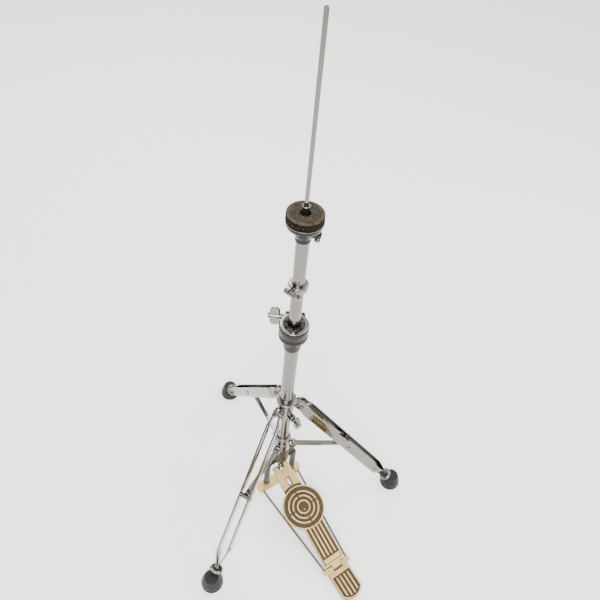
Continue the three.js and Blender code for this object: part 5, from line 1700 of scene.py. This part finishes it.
def add_camera():
    """The camera looks along f, with r to its right and d below; the roll turns r and d about f."""
    head, down, roll = (math.radians(a) for a in (CAMERA_HEADING, CAMERA_DOWN, CAMERA_ROLL))
    forward = Vector((math.cos(head) * math.cos(down), math.sin(head) * math.cos(down), -math.sin(down)))
    right = Vector((math.sin(head), -math.cos(head), 0.0))
    below = forward.cross(right)
    across = right * math.cos(roll) + below * math.sin(roll)
    lower = below * math.cos(roll) - right * math.sin(roll)
    camera = bpy.data.objects.new("camera", bpy.data.cameras.new("camera"))
    bpy.context.scene.collection.objects.link(camera)
    camera.data.lens = CAMERA_LENS
    camera.data.sensor_width = 36.0
    camera.data.clip_end = 100.0
    camera.matrix_world = Matrix((
        (across.x, -lower.x, -forward.x, CAMERA_PLACE[0]),
        (across.y, -lower.y, -forward.y, CAMERA_PLACE[1]),
        (across.z, -lower.z, -forward.z, CAMERA_PLACE[2]),
        (0, 0, 0, 1),
    ))
    bpy.context.scene.camera = camera


def add_light(name, place, size, power, tint=(1.0, 1.0, 1.0)):
    """A soft square lamp that faces the middle of the stand."""
    lamp = bpy.data.objects.new(name, bpy.data.lights.new(name, "AREA"))
    bpy.context.scene.collection.objects.link(lamp)
    lamp.data.size = size
    lamp.data.energy = power
    lamp.data.color = tint
    lamp.location = place
    lamp.rotation_mode = "QUATERNION"
    lamp.rotation_quaternion = (Vector(place) - Vector((0, 0, 0.4))).to_track_quat("Z", "Y")


def floor_finish():
    """A plain pale floor, the same from everywhere."""
    f = Finish("floor")
    return f.surface(base_color=tuple(colours().floor), roughness=1.0, specular_ior_level=0.0,
                     emission_color=(1.0, 1.0, 1.0, 1.0), emission_strength=FLOOR_GLOW)


def add_world():
    """A soft plain room: brighter overhead than at the horizon."""
    world = bpy.data.worlds.new("room")
    bpy.context.scene.world = world
    world.use_nodes = True
    tree = world.node_tree
    tree.nodes.clear()
    place = tree.nodes.new("ShaderNodeTexCoord")
    split = tree.nodes.new("ShaderNodeSeparateXYZ")
    ramp = tree.nodes.new("ShaderNodeValToRGB")
    shade = tree.nodes.new("ShaderNodeBackground")
    out = tree.nodes.new("ShaderNodeOutputWorld")
    low, high = ramp.color_ramp.elements
    low.position, low.color = 0.0, (*ROOM_LOW, 1)
    high.position, high.color = 0.6, (1.0, 0.98, 0.95, 1)
    shade.inputs["Strength"].default_value = WORLD_LIGHT
    links = tree.links
    links.new(place.outputs["Generated"], split.inputs[0])
    links.new(split.outputs[2], ramp.inputs[0])
    links.new(ramp.outputs[0], shade.inputs["Color"])
    links.new(shade.outputs[0], out.inputs["Surface"])


WORLD_LIGHT = 1.6
ROOM_LOW = (0.04, 0.038, 0.035)
FLOOR_GLOW = 0.7


class STAND_OT_stage(bpy.types.Operator):
    """The pale floor, the soft lamps, the room and the camera"""

    bl_idname = "stand.stage"
    bl_label = "Floor, light and camera"

    def execute(self, context):
        floor = loose_object("floor", slab(arc(9000, 0, 360, 97)[:-1], -12, -0.05, 1.0))
        floor.data.materials.append(floor_finish())
        add_light("key", (-1.3, -1.5, 2.6), 1.4, 95)
        add_light("fill", (1.9, -0.6, 1.9), 1.6, 38, (1.0, 0.96, 0.92))
        add_light("back", (0.4, 2.0, 2.2), 1.4, 42, (0.95, 0.98, 1.0))
        add_world()
        add_camera()
        return {"FINISHED"}


# ---- The add-on ----------------------------------------------------------------------------------

STEPS = (
    STAND_OT_stage, STAND_OT_tubes, STAND_OT_rods, STAND_OT_spring, STAND_OT_height_clamp,
    STAND_OT_memory_lock,
    STAND_OT_legs, STAND_OT_feet, STAND_OT_leg_collar, STAND_OT_struts, STAND_OT_base, STAND_OT_footboard,
    STAND_OT_heel, STAND_OT_wires, STAND_OT_chain, STAND_OT_seat,
)


class STAND_PT_panel(bpy.types.Panel):
    """Sizes, colours and one button for each group of pieces"""

    bl_idname = "STAND_PT_panel"
    bl_label = "Hi-hat stand"
    bl_space_type = "VIEW_3D"
    bl_region_type = "UI"
    bl_category = "Stand"

    def draw(self, context):
        for values in (context.scene.stand_sizes, context.scene.stand_colours):
            box = self.layout.box()
            for name in values.__annotations__:
                box.prop(values, name)
        for step in STEPS:
            self.layout.operator(step.bl_idname)


CLASSES = (StandSizes, StandColours, *STEPS, STAND_PT_panel)


def register():
    for cls in CLASSES:
        bpy.utils.register_class(cls)
    bpy.types.Scene.stand_sizes = bpy.props.PointerProperty(type=StandSizes)
    bpy.types.Scene.stand_colours = bpy.props.PointerProperty(type=StandColours)


def unregister():
    del bpy.types.Scene.stand_colours
    del bpy.types.Scene.stand_sizes
    for cls in reversed(CLASSES):
        bpy.utils.unregister_class(cls)


def main():
    register()
    for step in STEPS:
        getattr(bpy.ops.stand, step.bl_idname.split(".")[1])()


if __name__ == "__main__":
    main()
